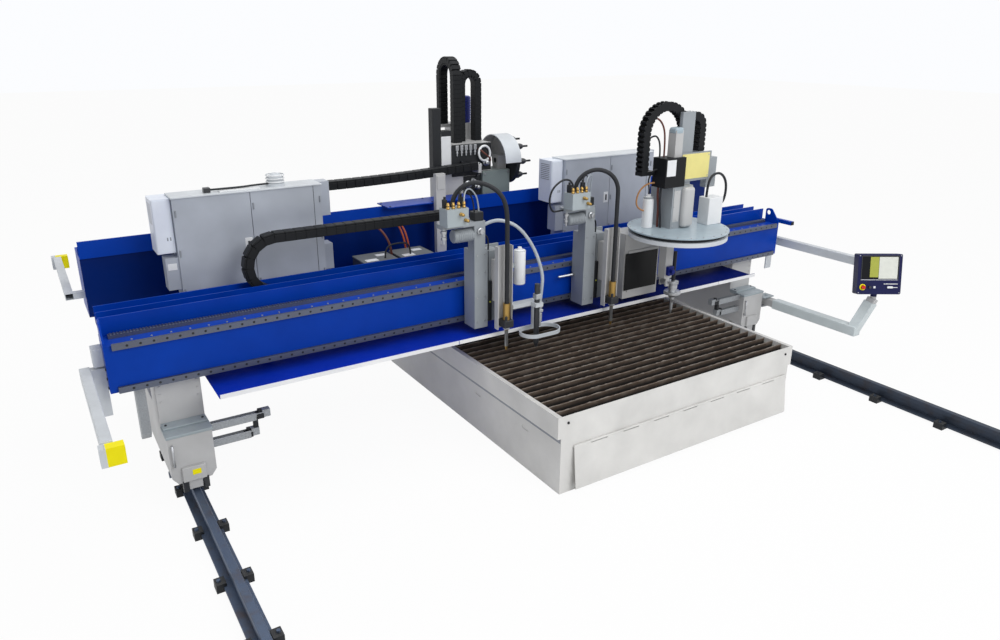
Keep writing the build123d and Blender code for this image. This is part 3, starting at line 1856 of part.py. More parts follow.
def closed_chain(route, plane, width, pitch):
    """A chain whose links are closed boxes."""
    with BuildPart() as chain:
        with BuildSketch(plane):
            with BuildLine():
                Polyline(*link_outline(link_joints(route, pitch)), close=True)
            make_face()
        extrude(amount=width)
    return chain


def open_chain(route, plane, width, pitch):
    """A chain of side plates joined by crossbars, open between them."""
    joints = link_joints(route, pitch)
    with BuildPart() as chain:
        for start in (0, width - chain_side):
            with BuildSketch(plane.offset(start)):
                with BuildLine():
                    Polyline(*link_outline(joints), close=True)
                make_face()
            extrude(amount=chain_side)
        with BuildSketch(plane.offset(chain_side / 2)):
            for start, end in zip(joints[:-1], joints[1:]):
                along = end - start
                across = Vector(-along.Y, along.X, 0).normalized()
                for side in (-1, 1):
                    spot = start + along / 2 + across * side * (chain_height / 2 - chain_bar)
                    lean_angle = Vector(1, 0, 0).get_signed_angle(along)
                    with Locations(Location((spot.X, spot.Y), lean_angle)):
                        Rectangle(chain_bar_length, chain_bar)
        extrude(amount=width - chain_side)
    return chain


def u_route(end_x, bend_x, fixed_x, upper, lower):
    """Along the upper run, round a half circle and back along the lower run."""
    with BuildLine() as route:
        top = Line((end_x, upper), (bend_x, upper))
        turn_back = JernArc(top @ 1, top % 1, (upper - lower) / 2, 180)
        Line(turn_back @ 1, (fixed_x, lower))
    return route


def arch_route(first, second, foot_first, foot_second, centre):
    """Up one leg, over a half circle and down the other leg."""
    with BuildLine() as route:
        leg = Line((first, foot_first), (first, centre))
        over = JernArc(leg @ 1, leg % 1, (second - first) / 2, -180)
        Line(over @ 1, (second, foot_second))
    return route


front_route = u_route(
    front_chain_end,
    front_chain_bend_x,
    front_chain_fixed_x,
    front_chain_upper,
    front_chain_lower,
)
front_plane = Plane.XZ.offset(-front_chain_y - chain_width / 2)
save(closed_chain(front_route, front_plane, chain_width, chain_pitch), "front_chain")

rear_route = u_route(
    rear_chain_end,
    rear_chain_bend_x,
    rear_chain_fixed_x,
    rear_chain_upper,
    rear_chain_lower,
)
rear_plane = Plane.XZ.offset(-rear_chain_y - chain_width / 2)
save(closed_chain(rear_route, rear_plane, chain_width, chain_pitch), "rear_chain")

rotor_route = arch_route(
    rotor_chain_left,
    rotor_chain_right,
    rotor_chain_left_foot,
    rotor_chain_foot,
    rotor_chain_centre_z,
)
with BuildLine() as over_route:
    behind_mast = Line((over_chain_start, over_chain_z), (over_chain_end - over_chain_radius, over_chain_z))
    over_top = JernArc(behind_mast @ 1, behind_mast % 1, over_chain_radius, -90)
    Line(over_top @ 1, (over_chain_end, over_chain_foot))
rotor_plane = Plane.XZ.offset(-rotor_chain_y - rotor_chain_width / 2)
arch_chain = open_chain(rotor_route, rotor_plane, rotor_chain_width, open_pitch)
over_chain = open_chain(over_route, rotor_plane, rotor_chain_width, open_pitch)
with BuildPart() as rotator_chains:
    add(arch_chain.part)
    add(over_chain.part)
    block(
        (cap_box_left, cap_box_left + cap_box_width),
        (cap_box_front, cap_box_front + cap_box_depth),
        (tower_top, tower_top + cap_box_height),
    )
    with Locations((post_x, post_y, tower_top + cap_box_height / 2)):
        Box(post_hole, post_hole, cap_box_height, mode=Mode.SUBTRACT)
    block(
        (rotor_chain_left - half_chain, cap_box_left),
        (rotor_chain_y - rotor_chain_width / 2, chain_back),
        (rotor_chain_left_foot - mast_shelf, rotor_chain_left_foot),
    )
save(rotator_chains, "rotator_chains")

feed_radius = (feed_loop_back - feed_loop_front) / 2
side_radius = (side_loop_right - side_loop_left) / 2
feed_route = arch_route(
    feed_loop_front,
    feed_loop_back,
    drill_column_top,
    drill_head_top,
    feed_loop_top - feed_radius,
)
side_route = arch_route(
    side_loop_left,
    side_loop_right,
    drill_column_top,
    drill_column_top,
    side_loop_top - side_radius,
)
feed_plane = Plane.YZ.offset(feed_loop_x - loop_width / 2)
feed_chain = closed_chain(feed_route, feed_plane, loop_width, loop_pitch)
side_plane = Plane.XZ.offset(-side_loop_y - loop_width / 2)
side_chain = closed_chain(side_route, side_plane, loop_width, loop_pitch)
with BuildPart() as drill_chains:
    add(feed_chain.part)
    add(side_chain.part)
save(drill_chains, "drill_chains")
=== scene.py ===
"""Finishes and small fittings for a wide rail-mounted gantry cutting machine."""
import math

import bmesh
import bpy
from bpy.props import FloatProperty, FloatVectorProperty, IntProperty, PointerProperty
from bpy.types import Operator, Panel, PropertyGroup
from mathutils import Matrix, Vector, noise


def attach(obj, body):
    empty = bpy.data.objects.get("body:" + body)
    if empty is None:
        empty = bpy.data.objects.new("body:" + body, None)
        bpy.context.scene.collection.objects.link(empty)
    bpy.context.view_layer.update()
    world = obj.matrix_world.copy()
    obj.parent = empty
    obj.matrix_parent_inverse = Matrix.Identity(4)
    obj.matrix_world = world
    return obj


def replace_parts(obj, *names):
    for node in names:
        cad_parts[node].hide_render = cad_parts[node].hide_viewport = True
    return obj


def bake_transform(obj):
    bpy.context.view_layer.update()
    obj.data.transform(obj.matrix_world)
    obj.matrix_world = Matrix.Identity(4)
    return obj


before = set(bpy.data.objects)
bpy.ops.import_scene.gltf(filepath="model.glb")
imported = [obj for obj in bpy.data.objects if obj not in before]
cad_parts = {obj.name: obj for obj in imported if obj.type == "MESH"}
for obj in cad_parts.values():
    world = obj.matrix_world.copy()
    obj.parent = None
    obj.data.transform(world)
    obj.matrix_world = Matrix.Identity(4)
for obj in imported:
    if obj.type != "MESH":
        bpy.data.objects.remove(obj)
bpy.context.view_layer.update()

bl_info = {
    "name": "Gantry cutting machine",
    "version": (1, 0, 0),
    "blender": (4, 5, 0),
    "location": "View3D > Sidebar > Machine",
    "description": "Finishes and fittings for a rail-mounted gantry cutting machine",
    "category": "Object",
}

# Ways that a fitting can face
UP, DOWN = (0, 0, 1), (0, 0, -1)
FRONT, BACK = (0, -1, 0), (0, 1, 0)
LEFT, RIGHT = (-1, 0, 0), (1, 0, 0)
# Places and sizes that several fittings share, in metres
RAIL_X = 3.505
ROTATOR_X, ROTATOR_Y = 1.53, -0.78
CAROUSEL_Y, CAROUSEL_Z = 1.39, 2.455
DRILL_FACE = 1.3005
LINK_HEIGHT = 0.092


def linear(hex_text):
    """An sRGB hex colour as linear red, green and blue."""
    values = [int(hex_text[k:k + 2], 16) / 255 for k in (1, 3, 5)]
    return tuple(v / 12.92 if v <= 0.04045 else ((v + 0.055) / 1.055) ** 2.4 for v in values)


def colour_property(label, words, hex_text):
    """A colour that a user may change."""
    return FloatVectorProperty(
        name=label, description=words, subtype="COLOR", size=3, min=0, max=1, default=linear(hex_text)
    )


def length_property(label, words, metres):
    """A length that a user may change."""
    return FloatProperty(name=label, description=words, unit="LENGTH", default=metres)


class MachineColours(PropertyGroup):
    """Colours of the machine's finishes."""

    beam: colour_property("Beam blue", "Enamel of the beams, deck and troughs", "#003ca8")
    frame_grey: colour_property("Frame grey", "Enamel of the legs, trucks and carriages", "#c1c1c1")
    table: colour_property("Table", "Enamel of the table and its door", "#dfdedb")
    cabinet: colour_property("Cabinet", "Sheet of the control cabinets", "#b1b7c1")
    pale: colour_property("Pale parts", "Barrier arms, cabinet roofs, lamp and slew ring", "#d3d8dd")
    dark: colour_property("Dark parts", "Rail chairs, tool carousel, covers and screws", "#26282b")
    chain: colour_property("Chain", "Nylon of the drag chains", "#141619")
    yellow: colour_property("Signal yellow", "Heads of the light barrier", "#fff008")
    console: colour_property("Console", "Enamel of the console's housing", "#171b48")


class MachineSizes(PropertyGroup):
    """Sizes of the fittings."""

    bolt_pitch: length_property("Guide bolt pitch", "Between two screws of a guide rail", 0.1)
    bolt_radius: length_property("Guide bolt radius", "Of a screw head in a guide rail", 0.011)
    link_pitch: length_property("Link pitch", "Length of a link of the long drag chains", 0.1)
    louvres: IntProperty(name="Louvres", description="Slots in the side of a cooler", default=9, min=1, max=40)


def wire(tree, node, inputs):
    """Sets a node's inputs, by socket, to values or to outputs of other nodes."""
    for socket, value in inputs.items():
        if isinstance(value, bpy.types.NodeSocket):
            tree.links.new(value, node.inputs[socket])
        else:
            node.inputs[socket].default_value = value


def add(tree, kind, inputs=None, **settings):
    """Adds a shader node."""
    made = tree.nodes.new("ShaderNode" + kind)
    for key, value in settings.items():
        setattr(made, key, value)
    wire(tree, made, inputs or {})
    return made


def noise_of(tree, place, millimetres, detail, roughness=0.5):
    """Noise with one feature each so many millimetres."""
    inputs = {"Vector": place, "Scale": 1000 / millimetres, "Detail": detail, "Roughness": roughness}
    return add(tree, "TexNoise", inputs).outputs["Fac"]


def cells_of(tree, place, millimetres):
    """Distance to the middle of cells that are so many millimetres wide."""
    return add(tree, "TexVoronoi", {"Vector": place, "Scale": 1000 / millimetres}).outputs["Distance"]


def ramp(tree, factor, *stops):
    """Colours by a factor; each stop is a position and a colour, and the outer two come first."""
    made = add(tree, "ValToRGB", {"Fac": factor})
    elements = made.color_ramp.elements
    for k, (position, colour) in enumerate(stops):
        stop = elements[k] if k < 2 else elements.new(position)
        stop.position = position
        stop.color = colour
    return made.outputs["Color"]


def mix(tree, factor, first, second):
    """The first colour, and by the factor the second one over it."""
    return add(tree, "Mix", {"Factor": factor, "A": first, "B": second}, data_type="RGBA").outputs[2]


def maths(tree, operation, first, second):
    """A sum with two values."""
    return add(tree, "Math", {0: first, 1: second}, operation=operation).outputs["Value"]


def spread(tree, value, low, high, before=(0, 1)):
    """A value that runs from low to high while another runs through the range before."""
    inputs = {"Value": value, "From Min": before[0], "From Max": before[1], "To Min": low, "To Max": high}
    return add(tree, "MapRange", inputs).outputs["Result"]


def relief_of(tree, height, strength, depth):
    """A normal that follows a height."""
    return add(tree, "Bump", {"Height": height, "Strength": strength, "Distance": depth}).outputs["Normal"]


def empty_tree(owner):
    """The emptied node tree of a material or world."""
    owner.use_nodes = True
    owner.node_tree.nodes.clear()
    return owner.node_tree


def start_material(name):
    """A material with its node tree, shader and Object coordinates."""
    material = bpy.data.materials.new(name)
    tree = empty_tree(material)
    shader = add(tree, "BsdfPrincipled")
    add(tree, "OutputMaterial", {"Surface": shader.outputs["BSDF"]})
    return material, tree, shader, add(tree, "TexCoord").outputs["Object"]


def shade(colour, factor=1):
    """A colour made lighter or darker, with full alpha."""
    return (*[min(1, c * factor) for c in colour], 1)


def enamel(name, colour, roughness, grime=0.25, coat=0.1, specular=0.4):
    """Sprayed enamel on steel: an even colour with faint orange peel, soft blotches and dusty tops."""
    material, tree, shader, place = start_material(name)
    tone = ramp(tree, noise_of(tree, place, 420, 4), (0.3, shade(colour, 0.9)), (0.7, shade(colour, 1.08)))
    # Dust settles on faces that look up, in patches
    normal = add(tree, "SeparateXYZ", {"Vector": add(tree, "NewGeometry").outputs["Normal"]})
    specks = noise_of(tree, place, 60, 6)
    dusty = maths(tree, "MULTIPLY", spread(tree, normal.outputs["Z"], 0, grime, (0.6, 1)), specks)
    # Real orange peel is about 2 mm across; it is drawn coarser so that it shows
    peel = noise_of(tree, place, 7, 2)
    wire(tree, shader, {
        "Base Color": mix(tree, dusty, tone, shade(linear("#8c8a86"))),
        "Normal": relief_of(tree, peel, 0.06, 0.001),
        "Roughness": spread(tree, specks, roughness - 0.07, roughness + 0.1),
        "Specular IOR Level": specular,
        "Coat Weight": coat,
        "Coat Roughness": 0.2,
    })
    return material


def bare_metal(name, colour, roughness, stretch, stain="#5b4a3c", stained=0.2, metallic=0.9):
    """Bare metal with fine lines along one way and a little staining."""
    material, tree, shader, place = start_material(name)
    drawn = add(tree, "Mapping", {"Vector": place, "Scale": stretch}).outputs["Vector"]
    lines = noise_of(tree, drawn, 9, 5)
    tone = ramp(tree, lines, (0.35, shade(colour, 0.78)), (0.65, shade(colour, 1.12)))
    patch = spread(tree, noise_of(tree, place, 140, 6, 0.6), 0, stained, (0.5, 0.75))
    wire(tree, shader, {
        "Base Color": mix(tree, patch, tone, shade(linear(stain))),
        "Normal": relief_of(tree, lines, 0.08, 0.001),
        "Roughness": spread(tree, lines, roughness - 0.1, roughness + 0.14),
        "Metallic": metallic,
    })
    return material


def moulded(name, colour, roughness, grain=3.0, relief=0.12, specular=0.5, vary=0.1):
    """Moulded plastic or rubber: an even colour with a fine leathery grain."""
    material, tree, shader, place = start_material(name)
    clouds = noise_of(tree, place, 90, 3)
    wire(tree, shader, {
        "Base Color": ramp(tree, clouds, (0.3, shade(colour, 1 - vary)), (0.75, shade(colour, 1 + vary))),
        "Normal": relief_of(tree, cells_of(tree, place, grain), relief, 0.0008),
        "Roughness": spread(tree, clouds, roughness - 0.08, roughness + 0.08),
        "Specular IOR Level": specular,
    })
    return material


def burnt_steel_and_shade(name, colour, roughness):
    """Support slats scorched by cutting: brown scale and grey spatter near the top, and near-black below, partly soot
    and partly painted shade between the slats.
    """
    material, tree, shader, place = start_material(name)
    scale = noise_of(tree, place, 150, 5)
    ends = [(0.32, shade(linear("#55483f"))), (0.72, shade(linear("#8a7d72")))]
    tone = ramp(tree, scale, *ends, (0.52, shade(colour)))
    spatter = spread(tree, cells_of(tree, place, 14), 0.3, 0, (0.12, 0.2))
    spattered = mix(tree, spatter, tone, shade(linear("#7d7873")))
    # Near-black lower down each slat: partly soot, partly painted shade between the slats
    height = add(tree, "SeparateXYZ", {"Vector": place}).outputs["Z"]
    above_soot_and_shade = spread(tree, height, 0, 1, (0.715, 0.76))
    wire(tree, shader, {
        "Base Color": mix(tree, above_soot_and_shade, shade(linear("#171413")), spattered),
        "Normal": relief_of(tree, scale, 0.3, 0.003),
        "Roughness": roughness,
        "Metallic": 0.35,
    })
    return material


def lit_glass(name, colour, roughness, glow):
    """A lit display behind smooth glass."""
    material, tree, shader, place = start_material(name)
    tone = ramp(tree, noise_of(tree, place, 45, 1), (0, shade(colour, 0.92)), (1, shade(colour, 1.05)))
    wire(tree, shader, {
        "Base Color": tone,
        "Emission Color": tone,
        "Emission Strength": glow,
        "Roughness": roughness,
        "Specular IOR Level": 0.2,
    })
    return material


def paint_shade_along(material, axis, edge, before, after, width):
    """Paints shade into a finish along one axis: darkens it by the share before up to the edge, by after once past the
    width.
    """
    tree = material.node_tree
    shader = next(node for node in tree.nodes if node.type == "BSDF_PRINCIPLED")
    colour = shader.inputs["Base Color"].links[0].from_socket
    place = add(tree, "SeparateXYZ", {"Vector": add(tree, "TexCoord").outputs["Object"]}).outputs[axis]
    share = spread(tree, place, before, after, (edge, edge + width))
    # The colour scaled by the share: this is the painted shade
    coat = add(tree, "VectorMath", {0: colour, "Scale": share}, operation="SCALE")
    wire(tree, shader, {"Base Color": coat.outputs["Vector"]})


# What makes a finish, its colour (a hex colour or one of MachineColours), its roughness and other settings
FINISHES = {
    "beam_enamel": (enamel, "beam", 0.36, dict(coat=0.0, grime=0.03, specular=0.12)),
    # The beam's enamel again, which carries painted shade on the rear beam
    "rear_enamel": (enamel, "beam", 0.36, dict(coat=0.0, grime=0.03, specular=0.12)),
    "tray_enamel": (enamel, "#002cad", 0.6, dict(coat=0.0, grime=0.0, specular=0.08)),
    "tray_edge_enamel": (enamel, "#fbfcff", 0.4, dict(grime=0.0)),
    "frame_enamel": (enamel, "frame_grey", 0.45),
    "table_enamel": (enamel, "table", 0.4, dict(grime=0.4)),
    "cabinet_enamel": (enamel, "cabinet", 0.38),
    "cooler_enamel": (enamel, "#e8eefc", 0.4, dict(grime=0.1)),
    "hinge_enamel": (enamel, "#8f949c", 0.4),
    "pale_enamel": (enamel, "pale", 0.4),
    "dark_enamel": (enamel, "dark", 0.5, dict(coat=0.0, specular=0.25)),
    "console_enamel": (enamel, "console", 0.35, dict(coat=0.0, specular=0.2)),
    "motor_enamel": (enamel, "#14247a", 0.4, dict(coat=0.0, specular=0.2)),
    "lid_enamel": (enamel, "#6f7476", 0.45),
    "box_enamel": (enamel, "#4c4f53", 0.5, dict(coat=0.0)),
    "station_enamel": (enamel, "#9aa0a5", 0.45),
    "gas_enamel": (enamel, "#a9b3b7", 0.4),
    "arm_enamel": (enamel, "#d2dbdd", 0.45),
    "truck_lid_enamel": (enamel, "#a2adb2", 0.4),
    "disc_enamel": (enamel, "#a9bac4", 0.35),
    "base_enamel": (enamel, "#7d8887", 0.45),
    "rolled_rail_steel": (bare_metal, "#58657a", 0.5, dict(stretch=(30, 1, 30), stained=0.6, metallic=0.6)),
    "scorched_edges": (
        bare_metal, "#8f857b", 0.6, dict(stretch=(1, 12, 12), stain="#4a3527", stained=0.9, metallic=0.35)
    ),
    "ground_guide_steel": (bare_metal, "#666c7c", 0.4, dict(stretch=(1, 30, 30), metallic=0.75)),
    "turned_steel": (bare_metal, "#b9bbbe", 0.32, dict(stretch=(1, 1, 25), stained=0.05)),
    "galvanised_steel": (bare_metal, "#a3a7ab", 0.5, dict(stretch=(1, 1, 1), stained=0.15, metallic=0.6)),
    "machined_aluminium": (bare_metal, "#c3c6c9", 0.42, dict(stretch=(8, 8, 1), stained=0.08, metallic=0.7)),
    "turned_brass": (bare_metal, "#b89656", 0.3, dict(stretch=(1, 1, 30), stain="#4b3a22", stained=0.35)),
    "burnt_slats": (burnt_steel_and_shade, "#6b5a4d", 0.75),
    "chain_nylon": (moulded, "chain", 0.5, dict(grain=5.0, specular=0.2)),
    "yellow_plastic": (moulded, "yellow", 0.45, dict(relief=0.06, specular=0.2, vary=0.03)),
    "plate_yellow": (moulded, "#efe491", 0.45, dict(relief=0.04, vary=0.03)),
    "red_plastic": (moulded, "#c81414", 0.25, dict(relief=0.03)),
    "white_plastic": (moulded, "#eceef0", 0.35, dict(relief=0.04, vary=0.03)),
    "knob_plastic": (moulded, "#2d2f33", 0.4, dict(relief=0.06)),
    "black_panel": (moulded, "#121315", 0.4, dict(relief=0.05, specular=0.2)),
    "lead_rubber": (moulded, "#26282c", 0.55, dict(specular=0.3)),
    "pale_rubber": (moulded, "#b4bcc4", 0.45),
    "tan_rubber": (moulded, "#b07f4f", 0.5),
    "red_rubber": (moulded, "#5f2a1e", 0.5),
    "orange_rubber": (moulded, "#b04f22", 0.5),
    "display_glass": (lit_glass, "#0b0d12", 0.12, dict(glow=0.05)),
    "page_glass": (lit_glass, "#d6d8d0", 0.12, dict(glow=0.15)),
    "list_glass": (lit_glass, "#a7ab4c", 0.12, dict(glow=0.12)),
}

# Finishes with painted shade on one side: axis, edge, share before and after the edge, and width of the change
PAINTED_SHADE = {
    # Painted shade: the rear beam's front, shaded by the cabinets, darkened to about a third
    "rear_enamel": ("Y", 1.13, 0.35, 1.0, 0.02),
    # Painted shade: this steel darker right of the middle, where the right rail's inner side lies in shadow
    "rolled_rail_steel": ("X", 0.0, 1.0, 0.4, 0.02),
    # Painted shade: the drip tray darkening towards its right end
    "tray_enamel": ("X", -0.9, 1.0, 0.27, 2.5),
}

# The solids that have each finish
NODE_FINISH = {
    "beam_enamel": "front_beam beam_end_plates cable_troughs deck",
    "tray_enamel": "drip_tray",
    "tray_edge_enamel": "tray_trim",
    "rear_enamel": "rear_beam",
    "frame_enamel": "gantry_legs truck_covers console_arm drill_carriage drill_head bevel_carriage"
                    " plasma1_lifter plasma2_lifter bevel_column",
    "station_enamel": "plasma1_carriage plasma2_carriage rotator_housing",
    "table_enamel": "table_tank slag_door",
    "cabinet_enamel": "control_cabinets",
    "pale_enamel": "barrier_arms warning_beacon marker_guard slew_ring",
    "disc_enamel": "rotator_disc",
    "cooler_enamel": "cabinet_coolers",
    "dark_enamel": "rail_chairs tool_carousel",
    "box_enamel": "supply_boxes",
    "console_enamel": "console_housing",
    "motor_enamel": "drill_motor",
    "rolled_rail_steel": "runway_rails wheel_front_left wheel_front_right wheel_rear_left wheel_rear_right",
    "galvanised_steel": "truck_brackets",
    "burnt_slats": "table_slats",
    "ground_guide_steel": "guide_rails_and_rack",
    "turned_steel": "drill_spindle bevel_link bevel_torch",
    "gas_enamel": "plasma1_gas_unit plasma2_gas_unit",
    "chain_nylon": "rotator_chains drill_chains front_chain rear_chain",
    "lead_rubber": "plasma1_lead plasma2_lead",
    "turned_brass": "plasma1_torch plasma2_torch",
    "yellow_plastic": "barrier_heads",
    "red_plastic": "emergency_stop",
    "white_plastic": "start_button",
    "knob_plastic": "feed_knob marker_torch",
    "display_glass": "console_screen",
}

made_finishes = {}


def finish(name):
    """The named finish, made once."""
    if name not in made_finishes:
        maker, colour, roughness, *settings = FINISHES[name]
        if colour.startswith("#"):
            colour = linear(colour)
        else:
            colour = getattr(bpy.context.scene.machine_colours, colour)
        made_finishes[name] = maker(name, colour, roughness, **dict(*settings))
        if name in PAINTED_SHADE:
            paint_shade_along(made_finishes[name], *PAINTED_SHADE[name])
    return made_finishes[name]


def put(name, data):
    """A new object in the scene."""
    made = bpy.data.objects.new(name, data)
    bpy.context.scene.collection.objects.link(made)
    return made


def mesh_of(name, bm):
    """A mesh from a bmesh, which is freed."""
    mesh = bpy.data.meshes.new(name)
    bm.to_mesh(mesh)
    bm.free()
    return mesh


def place_piece(name, bm, material, body, smooth=False):
    """Makes an object from a bmesh and lets it ride on a body, if one is given."""
    bmesh.ops.recalc_face_normals(bm, faces=bm.faces)
    mesh = mesh_of(name, bm)
    mesh.materials.append(finish(material))
    if smooth:
        mesh.polygons.foreach_set("use_smooth", [True] * len(mesh.polygons))
    piece = put(name, mesh)
    if body:
        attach(piece, body)
    return piece


def build(name, material, body, slot, *shapes, smooth=False, place=None):
    """A piece made of shapes, each a function and its sizes, and moved to a place, if one is given."""
    bm = bmesh.new()
    for make, *sizes in shapes:
        make(bm, *sizes)
    if place:
        bmesh.ops.transform(bm, matrix=place, verts=bm.verts)
    return place_piece(name, bm, material, body, smooth)


def slab(bm, low, high, bevel=0.0, segments=2):
    """A box between two corners, its edges rounded by bevel."""
    low, high = Vector(low), Vector(high)
    made = bmesh.ops.create_cube(bm, size=1)["verts"]
    bmesh.ops.scale(bm, vec=high - low, verts=made)
    bmesh.ops.translate(bm, vec=(low + high) / 2, verts=made)
    if bevel:
        edges = list({e for v in made for e in v.link_edges})
        bmesh.ops.bevel(
            bm, geom=edges, offset=bevel, segments=segments, profile=0.5, affect="EDGES", material=-1
        )


def sided(bm, side, low, high, bevel=0.0, segments=2, x=0.0):
    """A slab whose X sizes are counted from x to one side, 1 or -1."""
    near, far = sorted((x + side * low[0], x + side * high[0]))
    slab(bm, (near, *low[1:]), (far, *high[1:]), bevel, segments)


def rod(bm, start, end, radius, end_radius=None, sides=16):
    """A round bar or cone between two points."""
    start, end = Vector(start), Vector(end)
    along = end - start
    turn = along.to_track_quat("Z", "Y").to_matrix().to_4x4()
    bmesh.ops.create_cone(
        bm,
        cap_ends=True,
        segments=sides,
        radius1=radius,
        radius2=radius if end_radius is None else end_radius,
        depth=along.length,
        matrix=Matrix.Translation((start + end) / 2) @ turn,
    )


def heads(bm, spots, facing, radius, height, sides=6):
    """Screw heads at some spots, standing out along one way."""
    for spot in spots:
        spot = Vector(spot)
        rod(bm, spot, spot + Vector(facing) * height, radius, radius * 0.92, sides)


def turned(bm, base, along, profile, steps=24):
    """A turned piece: pairs of radius and height spun about a line that leaves base."""
    old = set(bm.verts)
    fresh = [bm.verts.new((radius, 0, height)) for radius, height in profile]
    edges = [bm.edges.new(pair) for pair in zip(fresh, fresh[1:])]
    bmesh.ops.spin(
        bm, geom=fresh + edges, cent=(0, 0, 0), axis=UP, angle=math.tau, steps=steps, use_merge=True
    )
    bmesh.ops.remove_doubles(bm, verts=[v for v in bm.verts if v not in old], dist=1e-6)
    turn = Vector(along).to_track_quat("Z", "Y").to_matrix().to_4x4()
    made = [v for v in bm.verts if v not in old]
    bmesh.ops.transform(bm, matrix=Matrix.Translation(base) @ turn, verts=made)


def fins(inner, outer, first, pitch, width, count):
    """The profile of a row of cooling fins with slanted flanks."""
    flank = 0.002
    steps = ((inner, 0), (outer, flank), (outer, width), (inner, width + flank))
    return [(radius, first + pitch * k + height) for k in range(count) for radius, height in steps]


def ring_of(count, radius):
    """Pairs of sizes that lie evenly on a circle."""
    swings = [math.tau * k / count for k in range(count)]
    return [(radius * math.cos(swing), radius * math.sin(swing)) for swing in swings]


def stamp(bm, small, place):
    """Adds a copy of a small mesh at a place; nothing bevelled may be in bm before."""
    count = len(bm.verts)
    bm.from_mesh(small)
    bm.verts.ensure_lookup_table()
    bmesh.ops.transform(bm, matrix=place, verts=bm.verts[count:])


def template(name, make, *sizes):
    """A small mesh to be stamped many times."""
    bm = bmesh.new()
    make(bm, *sizes)
    return mesh_of(name, bm)


def axes(x, y, z, spot):
    """A place with these three axes."""
    place = Matrix((x, y, z)).transposed().to_4x4()
    place.translation = spot
    return place


def straight(first, last, pitch):
    """Joints of links along a straight run."""
    count = max(1, round((last - first).length / pitch))
    return [first.lerp(last, k / count) for k in range(count + 1)]


def half_turn(first, last, outward, pitch):
    """Joints of links round half a circle."""
    centre = (first + last) / 2
    reach = first - centre
    count = max(4, round(math.pi * reach.length / pitch))
    swings = [math.pi * k / count for k in range(count + 1)]
    far = Vector(outward) * reach.length
    return [centre + reach * math.cos(swing) + far * math.sin(swing) for swing in swings]


def standing_loop(near, far, foot, top, end, pitch):
    """Joints of a loop that rises from its foot, turns over at the top and falls to its end, and the turn's ends."""
    rise, fall = Vector((*near, top)), Vector((*far, top))
    joints = straight(Vector((*near, foot)), rise, pitch)
    joints += half_turn(rise, fall, UP, pitch)[1:-1]
    joints += straight(fall, Vector((*far, end)), pitch)
    return joints, rise, fall


def chain_link(bm, length, height, width):
    """A moulded link: a body, a lid that leaves a fine line along the chain, and a core that joins the next link."""
    half = length * 0.49
    seam = height * 0.28
    slab(bm, (-half, -width / 2, -height / 2), (half, width / 2, seam), 0.003, 1)
    slab(bm, (-half, -width * 0.47, seam - 0.001), (half, width * 0.47, height / 2), 0.006, 1)
    slab(bm, (-half * 1.06, -width * 0.44, -height * 0.42), (half * 1.06, width * 0.44, height * 0.42))


def chain_piece(name, joints, across, link, body=None):
    """A chain of links between joints, its width along across."""
    side = Vector(across)
    shapes = []
    for first, last in zip(joints, joints[1:]):
        ahead = (last - first).normalized()
        shapes.append((stamp, link, axes(ahead, side, ahead.cross(side), (first + last) / 2)))
    return build(name, "chain_nylon", body, "chain_black", *shapes)


def strand(name, points):
    """A NURBS line with these control points."""
    line = bpy.data.curves.new(name, "CURVE")
    line.dimensions = "3D"
    line.resolution_u = 10
    spline = line.splines.new("NURBS")
    spline.points.add(len(points) - 1)
    for point, spot in zip(spline.points, points):
        point.co = (*spot, 1)
    spline.order_u = 3
    spline.use_endpoint_u = True
    return put(name, line)


def line_points(piece):
    """Points along a strand, read before it has a bevel, and its length."""
    mesh = bpy.data.meshes.new_from_object(piece)
    points = [v.co.copy() for v in mesh.vertices]
    bpy.data.meshes.remove(mesh)
    return points, sum((b - a).length for a, b in zip(points, points[1:]))


def round_out(piece, radius, material):
    """Gives a strand its thickness and finish."""
    piece.data.bevel_depth = radius
    piece.data.bevel_resolution = 3
    piece.data.use_fill_caps = True
    piece.data.materials.append(finish(material))


def hose(name, body, radius, points, material="lead_rubber"):
    """A hose or cable that leaves the machine and goes back into it."""
    piece = strand(name, points)
    length = line_points(piece)[1]
    round_out(piece, radius, material)
    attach(piece, body)


def swinging_hose(name, points, radius, material):
    """A hose made into a mesh that stays where it is drawn."""
    line = strand(f"{name}_line", points)
    path, length = line_points(line)
    round_out(line, radius, material)
    mesh = bpy.data.meshes.new_from_object(line)
    bpy.data.objects.remove(line)
    mesh.name = name
    piece = put(name, mesh)
    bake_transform(piece)
    return piece


def seen_rays(tree):
    """One for rays that reach the camera straight or by way of gloss or glass, and zero for the rest."""
    path = add(tree, "LightPath").outputs
    seen = maths(tree, "MAXIMUM", path["Is Camera Ray"], path["Is Glossy Ray"])
    return maths(tree, "MAXIMUM", seen, path["Is Transmission Ray"])


